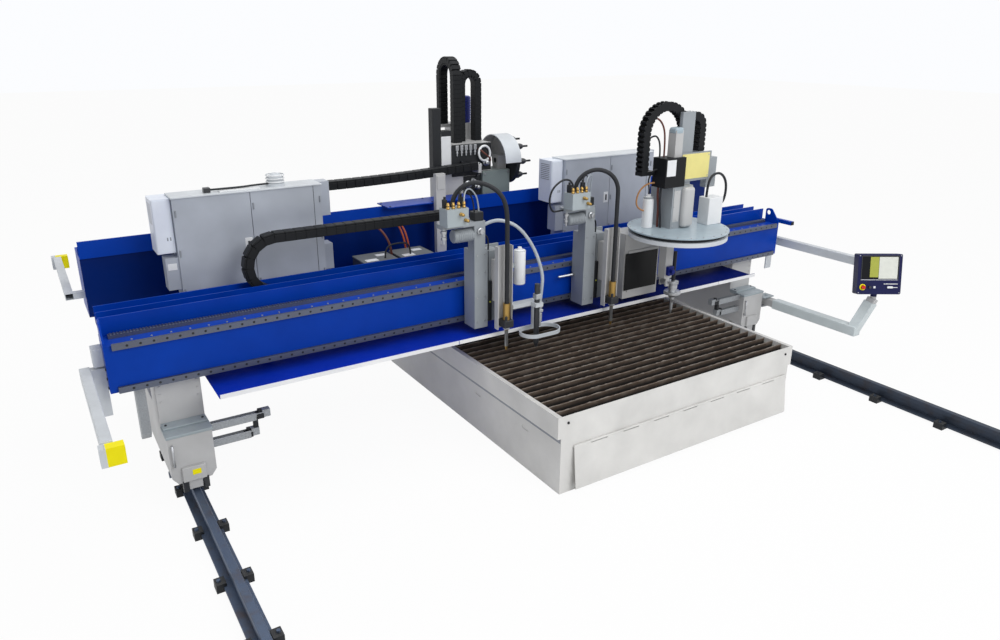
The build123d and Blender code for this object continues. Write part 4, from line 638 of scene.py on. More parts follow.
class MACHINE_OT_stage(Operator):
    """Pale floor, soft lamps and the camera"""

    bl_idname = "machine.stage"
    bl_label = "Stage"

    def execute(self, context):
        scene = context.scene
        scene.view_settings.view_transform = "Standard"
        bm = bmesh.new()
        bmesh.ops.create_grid(bm, x_segments=1, y_segments=1, size=60)
        floor = put("floor", mesh_of("floor", bm))
        paint = bpy.data.materials.new("pale_floor")
        tree = empty_tree(paint)
        matt = add(tree, "BsdfDiffuse", {"Color": (0.86, 0.86, 0.86, 1)})
        white = add(tree, "Emission", {"Color": (1, 1, 1, 1), "Strength": 1.0})
        share = maths(tree, "MULTIPLY", seen_rays(tree), 0.95)
        both = add(tree, "MixShader", {0: share, 1: matt.outputs["BSDF"], 2: white.outputs["Emission"]})
        add(tree, "OutputMaterial", {"Surface": both.outputs["Shader"]})
        floor.data.materials.append(paint)

        scene.world = bpy.data.worlds.new("studio")
        tree = empty_tree(scene.world)
        strength = spread(tree, seen_rays(tree), 0.42, 1.0)
        sky = add(tree, "Background", {"Color": (0.97, 0.98, 1, 1), "Strength": strength})
        add(tree, "OutputWorld", {"Surface": sky.outputs["Background"]})

        # Place, aim, size and power
        lamps = {
            "key_lamp": ((2.0, -9.5, 8.5), (0.5, 0.0, 1.0), 7.0, 640),
            "top_lamp": ((0.0, 1.0, 11.0), (0.0, 0.6, 1.0), 9.0, 430),
            "left_lamp": ((-10.0, -2.0, 6.0), (0.0, 0.0, 1.0), 6.0, 60),
        }
        for name, (spot, aim, size, power) in lamps.items():
            light = bpy.data.lights.new(name, "AREA")
            light.size = size
            light.energy = power
            lamp = put(name, light)
            lamp.location = spot
            lamp.rotation_euler = (Vector(aim) - Vector(spot)).to_track_quat("-Z", "Y").to_euler()

        lens = bpy.data.cameras.new("camera")
        lens.sensor_width = 36
        lens.lens = 27.303
        lens.shift_x = 0.01095
        lens.shift_y = -0.01593
        lens.clip_end = 200
        camera = put("camera", lens)
        camera.location = (-4.3764, -6.4044, 3.8496)
        camera.rotation_euler = [math.radians(a) for a in (70.6727, -0.1878, -32.0776)]
        scene.camera = camera
        return {"FINISHED"}


class MACHINE_OT_finishes(Operator):
    """Gives every solid its finish"""

    bl_idname = "machine.finishes"
    bl_label = "Finishes"

    def execute(self, context):
        for name, nodes in NODE_FINISH.items():
            for node in nodes.split():
                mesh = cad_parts[node].data
                mesh.materials.clear()
                mesh.materials.append(finish(name))
        return {"FINISHED"}


class MACHINE_OT_leads(Operator):
    """Torch leads of the two plasma stations"""

    bl_idname = "machine.leads"
    bl_label = "Torch leads"

    def execute(self, context):
        routes = {
            "plasma1": (
                (-0.523, -0.595, 1.415), (-0.523, -0.595, 2.09), (-0.528, -0.593, 2.36), (-0.594, -0.564, 2.515),
                (-0.763, -0.491, 2.612), (-0.912, -0.427, 2.58), (-1.0025, -0.3875, 2.457), (-1.0025, -0.3875, 2.38),
            ),
            "plasma2": (
                (0.825, -0.595, 1.415), (0.825, -0.595, 2.293), (0.824, -0.595, 2.447), (0.752, -0.556, 2.564),
                (0.629, -0.491, 2.611), (0.507, -0.427, 2.567), (0.4325, -0.3875, 2.451), (0.4325, -0.3875, 2.38),
            ),
        }
        for station, points in routes.items():
            lead = swinging_hose(
                f"{station}_lead_tube", points, 0.022, "lead_rubber",
            )
            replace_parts(lead, f"{station}_lead")
        return {"FINISHED"}


class MACHINE_OT_long_chains(Operator):
    """Drag chains of the first plasma carriage and the drill along the gantry"""

    bl_idname = "machine.long_chains"
    bl_label = "Long drag chains"

    def execute(self, context):
        pitch = context.scene.machine_sizes.link_pitch
        link = template("long_link", chain_link, pitch, LINK_HEIGHT, 0.116)
        # Carriage, Y, X of the bend, the fixed end and the moving end, Z of the lower and the upper run, and sag
        runs = {
            "front_chain": ("plasma1", 0.316, -2.475, -1.3, -0.72, 1.6273, 2.14, 0.0),
            "rear_chain": ("drill", 1.174, -2.85, -1.6, 0.2, 2.0123, 2.42, 0.035),
        }
        for name, (carriage, y, bend, fixed, end, lower, upper, sag) in runs.items():
            turn_low = Vector((bend, y, lower))
            turn_high = Vector((bend, y, upper))
            bottom = straight(Vector((fixed, y, lower)), turn_low, pitch)
            top = straight(turn_high, Vector((end, y, upper)), pitch)
            for joint in top:
                share = (joint.x - bend) / (end - bend)
                joint.z += sag * (share * share - math.sin(math.pi * share))
            round_end = half_turn(turn_low, turn_high, LEFT, pitch)
            lying = chain_piece(f"{name}_lower", bottom, BACK, link)
            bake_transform(lying)
            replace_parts(chain_piece(f"{name}_bend", round_end, BACK, link, name), name)
            hanging = chain_piece(f"{name}_upper", top, BACK, link)
            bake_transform(hanging)
        return {"FINISHED"}


class MACHINE_OT_drill_chains(Operator):
    """Standing chain loops of the drill"""

    bl_idname = "machine.drill_chains"
    bl_label = "Drill chain loops"

    def execute(self, context):
        pitch = 0.052
        link = template("loop_link", chain_link, pitch, LINK_HEIGHT, 0.11)
        joints, rise, fall = standing_loop((0.095, 1.45), (0.095, 1.77), 2.69, 3.445, 2.88, pitch)
        feed = chain_piece("feed_loop", joints, RIGHT, link)
        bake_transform(feed)
        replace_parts(feed, "drill_chains")
        joints = standing_loop((0.206, 1.55), (0.43, 1.55), 2.69, 3.353, 2.69, pitch)[0]
        chain_piece("side_loop", joints, BACK, link, "drill")
        return {"FINISHED"}


class MACHINE_OT_guides(Operator):
    """Screws along the guide rails and the beam's top, and teeth on the rack"""

    bl_idname = "machine.guides"
    bl_label = "Guides and rack"

    def execute(self, context):
        sizes = context.scene.machine_sizes
        rail_length, teeth, tooth_pitch = 7.84, 316, 0.025
        count = int(rail_length / sizes.bolt_pitch)
        xs = [(k - (count - 1) / 2) * sizes.bolt_pitch for k in range(count)]
        spots = [(x, -0.2009, z) for z in (1.552, 1.183) for x in xs]
        screws = (heads, spots, FRONT, sizes.bolt_radius, 0.0003, 12)
        build("guide_screws", "dark_enamel", "gantry", "machine_dark", screws)
        spots = [(-3.8 + 0.15 * k, -0.1, 1.56) for k in range(51)]
        build("beam_top_screws", "galvanised_steel", "gantry", "bright_steel", (heads, spots, UP, 0.009, 0.006))
        tooth = template("rack_tooth", slab, (-0.007, -0.029, 0), (0.007, 0.029, 0.007), 0.003, 1)
        xs = [(k - (teeth - 1) / 2) * tooth_pitch for k in range(teeth)]
        rack = [(stamp, tooth, Matrix.Translation((x, 0.02, 1.588))) for x in xs]
        build("rack_teeth", "ground_guide_steel", "gantry", "bright_steel", *rack)
        return {"FINISHED"}


class MACHINE_OT_cabinets(Operator):
    """Roofs, hinges, locks and bare plates of the control cabinets, and the fronts of their coolers"""

    bl_idname = "machine.cabinets"
    bl_label = "Cabinets"

    def execute(self, context):
        louvres = context.scene.machine_sizes.louvres
        roofs, fittings, vents, plates, fronts, hinges = (bmesh.new() for _ in range(6))
        for left, right in ((-3.25, -1.893), (1.068, 2.425)):
            seam = left + 0.68
            slab(roofs, (left - 0.01, 0.588, 2.513), (right + 0.01, 0.86, 2.53), 0.005)
            for x in (left + 0.018, seam + 0.022, right - 0.018):
                for z in (1.66, 2.02, 2.38):
                    rod(hinges, (x, 0.595, z - 0.03), (x, 0.595, z + 0.03), 0.007, sides=10)
            slab(plates, (seam - 0.085, 0.596, 1.96), (seam - 0.015, 0.6005, 2.09), 0.002, 1)
            slab(fittings, (seam - 0.06, 0.589, 1.99), (seam - 0.04, 0.597, 2.06), 0.003)
            slab(vents, (right - 0.078, 0.5985, 1.51), (right - 0.074, 0.6004, 2.512))
        for left, right in ((-3.415, -3.25), (0.903, 1.068)):
            slab(fronts, (left + 0.008, 0.645, 2.035), (right - 0.008, 0.6505, 2.503), 0.003)
            for k in range(louvres):
                z = 2.29 + 0.17 * k / max(1, louvres - 1)
                slab(hinges, (left - 0.001, 0.69, z), (left + 0.001, 0.86, z + 0.008))
            for k in range(2):
                slab(hinges, (right - 0.07 + 0.025 * k, 0.6438, 2.14), (right - 0.06 + 0.025 * k, 0.6458, 2.17))
        slab(plates, (-2.83, 0.62, 2.529), (-2.46, 0.7, 2.541), 0.004)
        slab(plates, (-3.35, 0.614, 1.875), (-3.272, 0.6185, 1.935), 0.001, 1)
        slab(fittings, (-2.96, 0.65, 2.529), (-2.9, 0.71, 2.575), 0.006)
        place_piece("cabinet_roofs", roofs, "pale_enamel", "gantry")
        place_piece("cabinet_hinges", hinges, "hinge_enamel", "gantry")
        place_piece("cabinet_fittings", fittings, "knob_plastic", "gantry")
        place_piece("cooler_vents", vents, "dark_enamel", "gantry")
        place_piece("cabinet_plates", plates, "white_plastic", "gantry")
        place_piece("cooler_fronts", fronts, "cooler_enamel", "gantry")
        hose("beacon_cable", "gantry", 0.009, (
            (-2.36, 0.7, 2.556), (-2.5, 0.69, 2.556), (-2.62, 0.675, 2.552), (-2.76, 0.675, 2.552), (-2.9, 0.68, 2.552),
        ))
        # Clear guard ribs round the lamp
        rib = ((0.082, 0), (0.088, 0.004), (0.088, 0.01), (0.082, 0.014))
        ribs = [(turned, (-2.29, 0.725, z), UP, rib) for z in (2.56, 2.59, 2.62)]
        build("beacon_ribs", "white_plastic", "gantry", "off_white", *ribs, smooth=True)
        return {"FINISHED"}


class MACHINE_OT_deck(Operator):
    """Lids and plugs of the supply boxes, the deck's cables and the foot of its post"""

    bl_idname = "machine.deck"
    bl_label = "Deck fittings"

    def execute(self, context):
        lids, plates, plugs, slots, foot = (bmesh.new() for _ in range(5))
        plug = ((0, 0), (0.019, 0), (0.019, 0.012), (0.025, 0.014), (0.025, 0.036), (0.016, 0.04), (0, 0.041))
        for left in (-1.51, -1.09):
            right = left + 0.37
            slab(lids, (left - 0.005, 0.514, 1.672), (right + 0.005, 0.856, 1.69), 0.005)
            slab(plates, (left + 0.04, 0.55, 1.688), (left + 0.17, 0.63, 1.6925), 0.001, 1)
            slab(plates, (left + 0.21, 0.7, 1.688), (left + 0.32, 0.77, 1.6925), 0.001, 1)
            for k in range(8):
                slab(slots, (left + 0.035 + 0.04 * k, 0.5185, 1.53), (left + 0.055 + 0.04 * k, 0.5205, 1.64))
            for z in (1.57, 1.64):
                turned(plugs, (left, 0.58, z), LEFT, plug, 16)
        slab(foot, (-0.53, 0.842, 1.4915), (-0.326, 0.978, 1.506), 0.003)
        heads(foot, [(x, y, 1.506) for x in (-0.51, -0.346) for y in (0.858, 0.962)], UP, 0.014, 0.01)
        heads(foot, [(-0.428, 0.8795, z) for z in (1.66, 1.98, 2.3, 2.38)], FRONT, 0.014, 0.008)
        slab(foot, (-0.475, 0.872, 2.28), (-0.381, 0.8802, 2.43), 0.002, 1)
        heads(slots, [(x, y, 2.132) for x in (-1.0, -0.49, 0.015) for y in (0.975, 1.21)], UP, 0.011, 0.006)
        place_piece("supply_lids", lids, "lid_enamel", "gantry")
        place_piece("supply_plates", plates, "white_plastic", "gantry")
        place_piece("supply_plugs", plugs, "turned_steel", "gantry", smooth=True)
        place_piece("supply_slots", slots, "dark_enamel", "gantry")
        place_piece("post_foot", foot, "frame_enamel", "gantry")
        hose("red_cable", "gantry", 0.013, (
            (-1.115, 0.72, 1.492), (-1.115, 0.72, 1.62), (-1.125, 0.74, 1.8), (-1.17, 0.86, 1.93), (-1.22, 1.0, 1.96),
            (-1.23, 1.098, 1.96),
        ), "red_rubber")
        for k, x in enumerate((-0.86, -0.82)):
            hose(f"orange_cable_{k}", "gantry", 0.011, (
                (x, 0.9, 1.492), (x, 0.9, 1.62), (x - 0.02, 0.92, 1.8), (x - 0.04, 1.0, 1.92), (x - 0.04, 1.098, 1.94),
            ), "orange_rubber")
        for k, (z, reach) in enumerate(((1.57, 0.16), (1.64, 0.24))):
            end = -1.72 - reach * 0.4
            hose(f"supply_cable_{k}", "gantry", 0.009, (
                (-1.535, 0.58, z), (-1.62, 0.58, z), (-1.7 - reach * 0.3, 0.57, z - 0.01), (end, 0.5, 1.62),
                (end, 0.41, 1.63),
            ))
        hose("box_cable", "gantry", 0.009, (
            (-1.25, 0.6, 1.69), (-1.25, 0.6, 1.76), (-1.2, 0.6, 1.82), (-1.1, 0.6, 1.83), (-1.0, 0.6, 1.82),
            (-0.96, 0.6, 1.76), (-0.96, 0.6, 1.69),
        ))
        return {"FINISHED"}


class MACHINE_OT_table_dressing(Operator):
    """Corner bolts of the table, dark strips of painted shadow under its rim, and the burnt edges of its slats"""

    bl_idname = "machine.table_dressing"
    bl_label = "Table dressing"

    def execute(self, context):
        bolts = (heads, [(x, -1.8, 0.7) for x in (-0.665, 2.225)], FRONT, 0.013, 0.009)
        build("table_bolts", "dark_enamel", "base", "machine_dark", bolts)
        # Thin grey strips along both long sides under the rim's overhang: painted shadow
        shadow_strips = [(slab, (x - 0.001, -1.79, 0.506), (x + 0.001, 2.16, 0.5605)) for x in (-0.7375, 2.2975)]
        build("rim_seams", "hinge_enamel", "base", "table_paint", *shadow_strips)
        # Ragged, scorched top edges of the slats
        slats, first_slat, slat_pitch, half_slat = 35, -1.689, 0.11, 0.0055
        bm = bmesh.new()
        for k in range(slats):
            y = first_slat + slat_pitch * k
            slab(bm, (-0.724, y - half_slat, 0.758), (2.284, y + half_slat, 0.7655))
        bmesh.ops.subdivide_edges(bm, edges=[e for e in bm.edges if e.calc_length() > 1], cuts=70)
        middle, rise, sink, sway = 0.762, 0.007, 0.002, 0.003
        for v in bm.verts:
            ragged = noise.noise(v.co * 23)
            if v.co.z > middle:
                v.co.z += rise * ragged - sink
            v.co.y += sway * noise.noise(v.co * 31)
        place_piece("slat_edges", bm, "scorched_edges", "base")
        return {"FINISHED"}


class MACHINE_OT_trucks(Operator):
    """Lids, noses, handles, flaps, bracket plates and bolts of the two end trucks"""

    bl_idname = "machine.trucks"
    bl_label = "End trucks"

    def execute(self, context):
        noses, lids, sheets, handles, flaps, plates, clamps = (bmesh.new() for _ in range(7))
        for x in (-RAIL_X, RAIL_X):
            slab(noses, (x - 0.1, -0.352, 0.296), (x + 0.09, -0.321, 0.43), 0.006)
            slab(lids, (x - 0.19, -0.33, 0.712), (x + 0.19, -0.09, 0.739), 0.006)
            slab(lids, (x - 0.183, -0.2, 0.738), (x + 0.183, -0.079, 0.757), 0.006)
            pair = (x - 0.15, x + 0.15)
            heads(noses, [(bolt, -0.0815, 0.95 + 0.07 * k) for bolt in pair for k in range(3)], FRONT, 0.01, 0.006)
            heads(clamps, [(bolt, -0.14, 0.757) for bolt in pair], UP, 0.011, 0.007)
            rod(handles, (x - 0.15, -0.345, 0.46), (x - 0.15, -0.345, 0.66), 0.009, sides=12)
            for z in (0.47, 0.65):
                rod(handles, (x - 0.15, -0.322, z), (x - 0.15, -0.345, z), 0.009, sides=12)
            for left in (x - 0.105, x + 0.065):
                for front in (-0.33, 2.07):
                    slab(flaps, (left, front, 0.186), (left + 0.045, front + 0.04, 0.297), 0.004, 1)
            if x < 0:
                slab(plates, (x - 0.02, -0.3545, 0.352), (x + 0.05, -0.3515, 0.4), 0.001, 1)
            inward = 1 if x < 0 else -1
            for z, reach in ((0.69, 0.631), (0.535, 0.521)):
                near, far = reach - 0.05, reach + 0.012
                sided(clamps, inward, (near, -0.262, z - 0.024), (far, -0.186, z + 0.024), 0.004, 1, x)
                near, far = near + 0.015, far - 0.015
                sided(clamps, inward, (near, -0.242, z + 0.022), (far, -0.206, z + 0.06), 0.003, 1, x)
            for z, end in ((0.662, 0.575), (0.507, 0.515)):
                sided(sheets, inward, (0.183, -0.263, z), (end, -0.2545, z + 0.07), 0.003, 1, x)
            sided(clamps, inward, (0.55, -0.245, 0.583), (0.59, -0.203, 0.692), 0.003, 1, x)
        place_piece("truck_lids", lids, "truck_lid_enamel", "gantry")
        place_piece("bracket_sheets", sheets, "galvanised_steel", "gantry")
        place_piece("truck_noses", noses, "frame_enamel", "gantry")
        place_piece("truck_handles", handles, "turned_steel", "gantry", smooth=True)
        place_piece("rail_flaps", flaps, "knob_plastic", "gantry")
        place_piece("nose_plates", plates, "yellow_plastic", "gantry")
        place_piece("arm_clamps", clamps, "dark_enamel", "gantry")
        return {"FINISHED"}


class MACHINE_OT_rail_bolts(Operator):
    """Bolts in the clips of the rail chairs"""

    bl_idname = "machine.rail_bolts"
    bl_label = "Rail bolts"

    def execute(self, context):
        chairs, first_chair, chair_pitch = 12, -3.64, 0.725
        ys = [first_chair + chair_pitch * k for k in range(chairs)]
        spots = [(x + dx, y, 0.07) for y in ys for x in (-RAIL_X, RAIL_X) for dx in (-0.11, 0.11)]
        build("clip_bolts", "rolled_rail_steel", "base", "machine_dark", (heads, spots, UP, 0.017, 0.016))
        return {"FINISHED"}


class MACHINE_OT_console_face(Operator):
    """Picture, bezel, stop collar and key strips of the console, and the sleeves of its arm"""

    bl_idname = "machine.console_face"
    bl_label = "Console face"

    def execute(self, context):
        rise = Vector((0.127, -0.103, 0.405))
        up = rise.normalized()
        across = Vector(RIGHT)
        across = (across - rise * (across.dot(rise) / rise.length_squared)).normalized()
        sleeve = template("rise_sleeve", slab, (-0.059, -0.059, -0.02), (0.059, 0.059, rise.length - 0.05), 0.008)
        build(
            "console_arm_sleeves", "arm_enamel", "console_arm", "light_grey",
            (stamp, sleeve, axes(across, up.cross(across), up, (3.8, -1.56, 0.575))),
            (slab, (3.741, -1.619, 0.516), (3.859, -0.44, 0.634), 0.008),
        )
        build(
            "console_pivot_plate", "truck_lid_enamel", "gantry", "light_grey",
            (slab, (3.684, -0.362, 0.6362), (3.872, -0.218, 0.652), 0.005),
            (heads, [(3.8, -0.29, 0.652)], UP, 0.022, 0.012),
        )
        # The panel's face: X to its right, Y up along it and Z out of it
        out = Vector((-0.5183, -0.8295, 0.2079))
        right = Vector((0.848, -0.53, 0.0))
        panel = axes(right, out.cross(right), out, (3.8985, -1.7086, 1.2924))
        flat_pieces = {
            "screen_page": ("page_glass", "off_white", [((-0.012, -0.052, 0.0002), (0.204, 0.2, 0.0012))]),
            "screen_list": ("list_glass", "signal_yellow", [((-0.115, -0.035, 0.0002), (-0.015, 0.2, 0.0012))]),
            "console_trim": ("white_plastic", "off_white", [
                ((-0.215, -0.068, 0.0), (0.212, -0.0625, 0.003)), ((0.05, -0.117, 0.0), (0.215, -0.109, 0.004)),
                ((0.16, -0.158, 0.0), (0.215, -0.15, 0.004)), ((-0.068, -0.162, 0.0), (-0.044, -0.138, 0.012)),
            ]),
            "console_bezel": ("knob_plastic", "machine_dark", [
                ((-0.218, 0.206, 0.0), (0.218, 0.216, 0.006)), ((-0.218, -0.064, 0.0), (-0.21, 0.216, 0.006)),
                ((0.21, -0.064, 0.0), (0.218, 0.216, 0.006)),
            ]),
        }
        for name, (material, slot, boxes) in flat_pieces.items():
            slabs = [(slab, low, high, min(0.002, (high[2] - low[2]) * 0.4), 1) for low, high in boxes]
            build(name, material, "console", slot, *slabs, place=panel)
        collar = ((0.023, 0), (0.036, 0), (0.036, 0.003), (0.024, 0.0055), (0.023, 0))
        build(
            "stop_collar", "yellow_plastic", "console", "signal_yellow",
            (turned, (-0.19, -0.15, 0), UP, collar, 28), smooth=True, place=panel,
        )
        corners = [(x, y, 0) for x in (-0.236, 0.236) for y in (-0.215, 0.215)]
        screws = (heads, corners, UP, 0.007, 0.003, 12)
        build("console_screws", "turned_steel", "console", "bright_steel", screws, place=panel)
        return {"FINISHED"}


class MACHINE_OT_barriers(Operator):
    """Windows, clips and arm sleeves of the light barrier, and the stubs and blocks at the beam's ends"""

    bl_idname = "machine.barriers"
    bl_label = "Barriers and beam ends"

    def execute(self, context):
        windows, clips, blue, bolts, arms = (bmesh.new() for _ in range(5))
        for side in (-1, 1):
            for x, front, low in ((4.065, -1.45, 1.205), (4.033, 2.65, 1.495)):
                cap = x + 0.122
                sided(windows, side, (x + 0.0005, front + 0.02, low + 0.025), (x - 0.0015, front + 0.06, low + 0.11))
                near, far = (x + 0.1155, front + 0.002, low - 0.004), (cap, front + 0.078, low + 0.138)
                sided(clips, side, near, far, 0.002, 1)
                spots = [(side * cap, front + 0.04, low + dz) for dz in (0.04, 0.095)]
                heads(bolts, spots, (side, 0, 0), 0.01, 0.007)
        slab(blue, (4.0195, -0.36, 1.575), (4.075, -0.02, 1.625), 0.004)
        slab(windows, (4.0215, -0.366, 1.577), (4.073, -0.359, 1.623), 0.002, 1)
        for side in (-1, 1):
            sided(clips, side, (4.0195, -0.06, 1.36), (4.1, 0.07, 1.51), 0.004)
            spots = [(side * 4.02, y, z) for y in (-0.14, 0.045) for z in (1.2, 1.28, 1.36)]
            heads(bolts, spots, (side, 0, 0), 0.013, 0.008)
            sided(arms, side, (4.126, -1.368, 1.248), (4.204, 0.018, 1.352), 0.006)
        place_piece("barrier_sleeves", arms, "pale_enamel", "gantry")
        place_piece("barrier_windows", windows, "display_glass", "gantry")
        place_piece("barrier_clips", clips, "pale_enamel", "gantry")
        place_piece("beam_stubs", blue, "beam_enamel", "gantry")
        place_piece("beam_end_bolts", bolts, "dark_enamel", "gantry")
        return {"FINISHED"}


# Turned profiles of a plasma station's fittings: pairs of radius and height
GAS_UNION = (
    (0, 0), (0.017, 0), (0.017, 0.014), (0.0135, 0.016), (0.0135, 0.03), (0.0165, 0.032), (0.0165, 0.042),
    (0.012, 0.046), (0.012, 0.058), (0, 0.059),
)
DROP_COUPLING = (
    (0, 0), (0.02, 0), (0.02, 0.02), (0.03, 0.024), (0.03, 0.05), (0.021, 0.054), (0.021, 0.08), (0.028, 0.084),
    (0.028, 0.11), (0.013, 0.116), (0.013, 0.15), (0, 0.151),
)
FRONT_COUPLING = ((0, 0), (0.034, 0), (0.034, 0.02), (0.024, 0.024), (0.024, 0.05), (0, 0.052))
LIFT_MOTOR = (
    (0.06, 0.004), *fins(0.063, 0.0665, 0.012, 0.02, 0.01, 8), (0.064, 0.18), (0.064, 0.198), (0.056, 0.206),
    (0, 0.207),
)
STATION_LAMP = ((0, 0), (0.009, 0), (0.009, 0.004), (0.006, 0.007), (0, 0.008))
TORCH_BARREL = ((0.02, 0), (0.034, 0), (0.034, 0.02), (0.0185, 0.03), (0.0185, 0.2), (0.016, 0.205))


def dress_station(station, torch, manifold):
    """Fittings and hoses of one plasma station, by the X of its torch and of its gas manifold."""
    lift = f"{station}_lift"
    left = torch - 0.25
    ports = [manifold + 0.028 + 0.05625 * k for k in range(4)]
    build(
        f"{station}_gas_unions", "turned_brass", station, "torch_brass",
        *[(turned, (x, -0.4625, 2.379), UP, GAS_UNION, 12) for x in ports],
        (turned, (manifold + 0.14, -0.5, 2.33), FRONT, GAS_UNION, 12),
        (turned, (manifold + 0.19, -0.5, 2.27), FRONT, GAS_UNION, 12),
        smooth=True,
    )
    screws = [(left + dx, -0.405, z) for dx in (0.03, 0.12) for z in (1.2, 1.45, 1.7, 1.88)]
    build(
        f"{station}_couplings", "turned_steel", station, "bright_steel",
        (turned, (manifold + 0.045, -0.345, 2.176), DOWN, DROP_COUPLING, 18),
        (turned, (left + 0.06, -0.404, 2.12), FRONT, FRONT_COUPLING, 18),
        (heads, screws, FRONT, 0.009, 0.006),
    )
    motor = (turned, (left, -0.345, 2.085), LEFT, LIFT_MOTOR, 28)
    build(f"{station}_motor_fins", "station_enamel", station, "light_grey", motor)
    black = bmesh.new()
    slab(black, (torch - 0.099, -0.412, 1.19), (torch - 0.054, -0.384, 1.6), 0.003, 1)
    for x, top in ((ports[0], 2.46), (ports[3], 2.47)):
        slab(black, (x - 0.019, -0.42, 2.379), (x + 0.019, -0.38, top), 0.004)
        rod(black, (x, -0.4, top), (x, -0.4, top + 0.025), 0.012, sides=14)
    slab(black, (left + 0.01, -0.395, 2.214), (left + 0.11, -0.295, 2.3), 0.008)
    place_piece(f"{station}_covers", black, "dark_enamel", station)
    lamp = (turned, (torch - 0.0765, -0.411, 1.39), FRONT, STATION_LAMP, 16)
    build(f"{station}_lamp", "list_glass", station, "signal_yellow", lamp)
    build(
        f"{station}_clamp", "knob_plastic", lift, "machine_dark",
        (slab, (torch - 0.0525, -0.6475, 1.172), (torch + 0.0525, -0.5285, 1.248), 0.006),
        (slab, (torch - 0.04, -0.64, 1.246), (torch - 0.015, -0.62, 1.29), 0.003, 1),
    )
    barrel = (turned, (torch, -0.595, 1.17), DOWN, TORCH_BARREL, 20)
    build(f"{station}_barrel", "turned_steel", lift, "bright_steel", barrel, smooth=True)
    for k, goal, rubber in ((2, left + 0.03, "lead_rubber"), (3, left + 0.08, "pale_rubber")):
        x = ports[k]
        hose(f"{station}_gas_hose_{k}", station, 0.007, (
            (x, -0.4625, 2.43), (x, -0.4625, 2.5), (x + 0.04, -0.45, 2.55), (x + 0.11, -0.42, 2.53),
            (goal - 0.02, -0.38, 2.42), (goal, -0.36, 2.235),
        ), rubber)
    hose(f"{station}_motor_cable", station, 0.008, (
        (left + 0.12, -0.34, 2.06), (left + 0.17, -0.34, 2.06), (left + 0.2, -0.34, 1.98), (left + 0.2, -0.32, 1.82),
        (left + 0.175, -0.29, 1.72), (left + 0.165, -0.237, 1.7),
    ))


class MACHINE_OT_stations(Operator):
    """Gas fittings, hoses, motor fins, covers and couplings of the plasma stations"""

    bl_idname = "machine.stations"
    bl_label = "Plasma stations"

    def execute(self, context):
        dress_station("plasma1", -0.523, -1.115)
        dress_station("plasma2", 0.825, 0.32)
        # Canister on the first carriage, in its white sleeve
        canister = (
            (0.04, -0.004), (0.055, -0.003), (0.0595, 0.006), (0.0595, 0.334), (0.054, 0.343), (0.03, 0.346),
            (0.02, 0.347), (0.02, 0.372), (0, 0.373),
        )
        build(
            "canister_sleeve", "white_plastic", "plasma1", "off_white",
            (turned, (-0.308, -0.49, 1.555), UP, canister, 28), smooth=True,
        )
        # Gas coupling beside the marking tool, and the hose that runs down to it
        coupling = (
            (0, 0), (0.016, 0), (0.016, 0.05), (0.023, 0.055), (0.023, 0.13), (0.018, 0.135), (0.018, 0.19),
            (0.025, 0.195), (0.025, 0.225), (0.018, 0.23), (0.018, 0.27), (0, 0.272),
        )
        build(
            "marker_coupling", "machined_aluminium", "plasma1_lift", "machined_aluminium",
            (turned, (-0.14, -0.62, 1.115), UP, coupling, 18),
            (slab, (-0.2, -0.645, 1.262), (-0.115, -0.6, 1.292), 0.004, 1),
            (slab, (-0.222, -0.672, 1.415), (-0.164, -0.608, 1.47), 0.005),
        )
        swinging_hose("marker_hose", (
            (-0.653, -0.35, 2.15), (-0.57, -0.36, 2.19), (-0.46, -0.42, 2.2), (-0.3, -0.47, 2.12), (-0.15, -0.52, 1.9),
            (-0.085, -0.58, 1.64), (-0.12, -0.615, 1.5), (-0.14, -0.62, 1.38),
        ), 0.017, "pale_rubber")
        hose("plasma2_loop", "plasma2", 0.01, (
            (0.348, -0.4625, 2.43), (0.345, -0.46, 2.5), (0.24, -0.45, 2.54), (0.11, -0.44, 2.46), (0.08, -0.42, 2.33),
            (0.15, -0.38, 2.2), (0.25, -0.35, 2.19), (0.33, -0.345, 2.195),
        ))
        stub = ((0, -0.002), (0.017, -0.002), (0.017, 0.03), (0.013, 0.034), (0.013, 0.2), (0.01, 0.206), (0, 0.207))
        build(
            "carriage_stub", "turned_steel", "plasma2", "bright_steel",
            (turned, (0.5755, -0.24, 1.44), LEFT, stub, 16), smooth=True,
        )
        return {"FINISHED"}


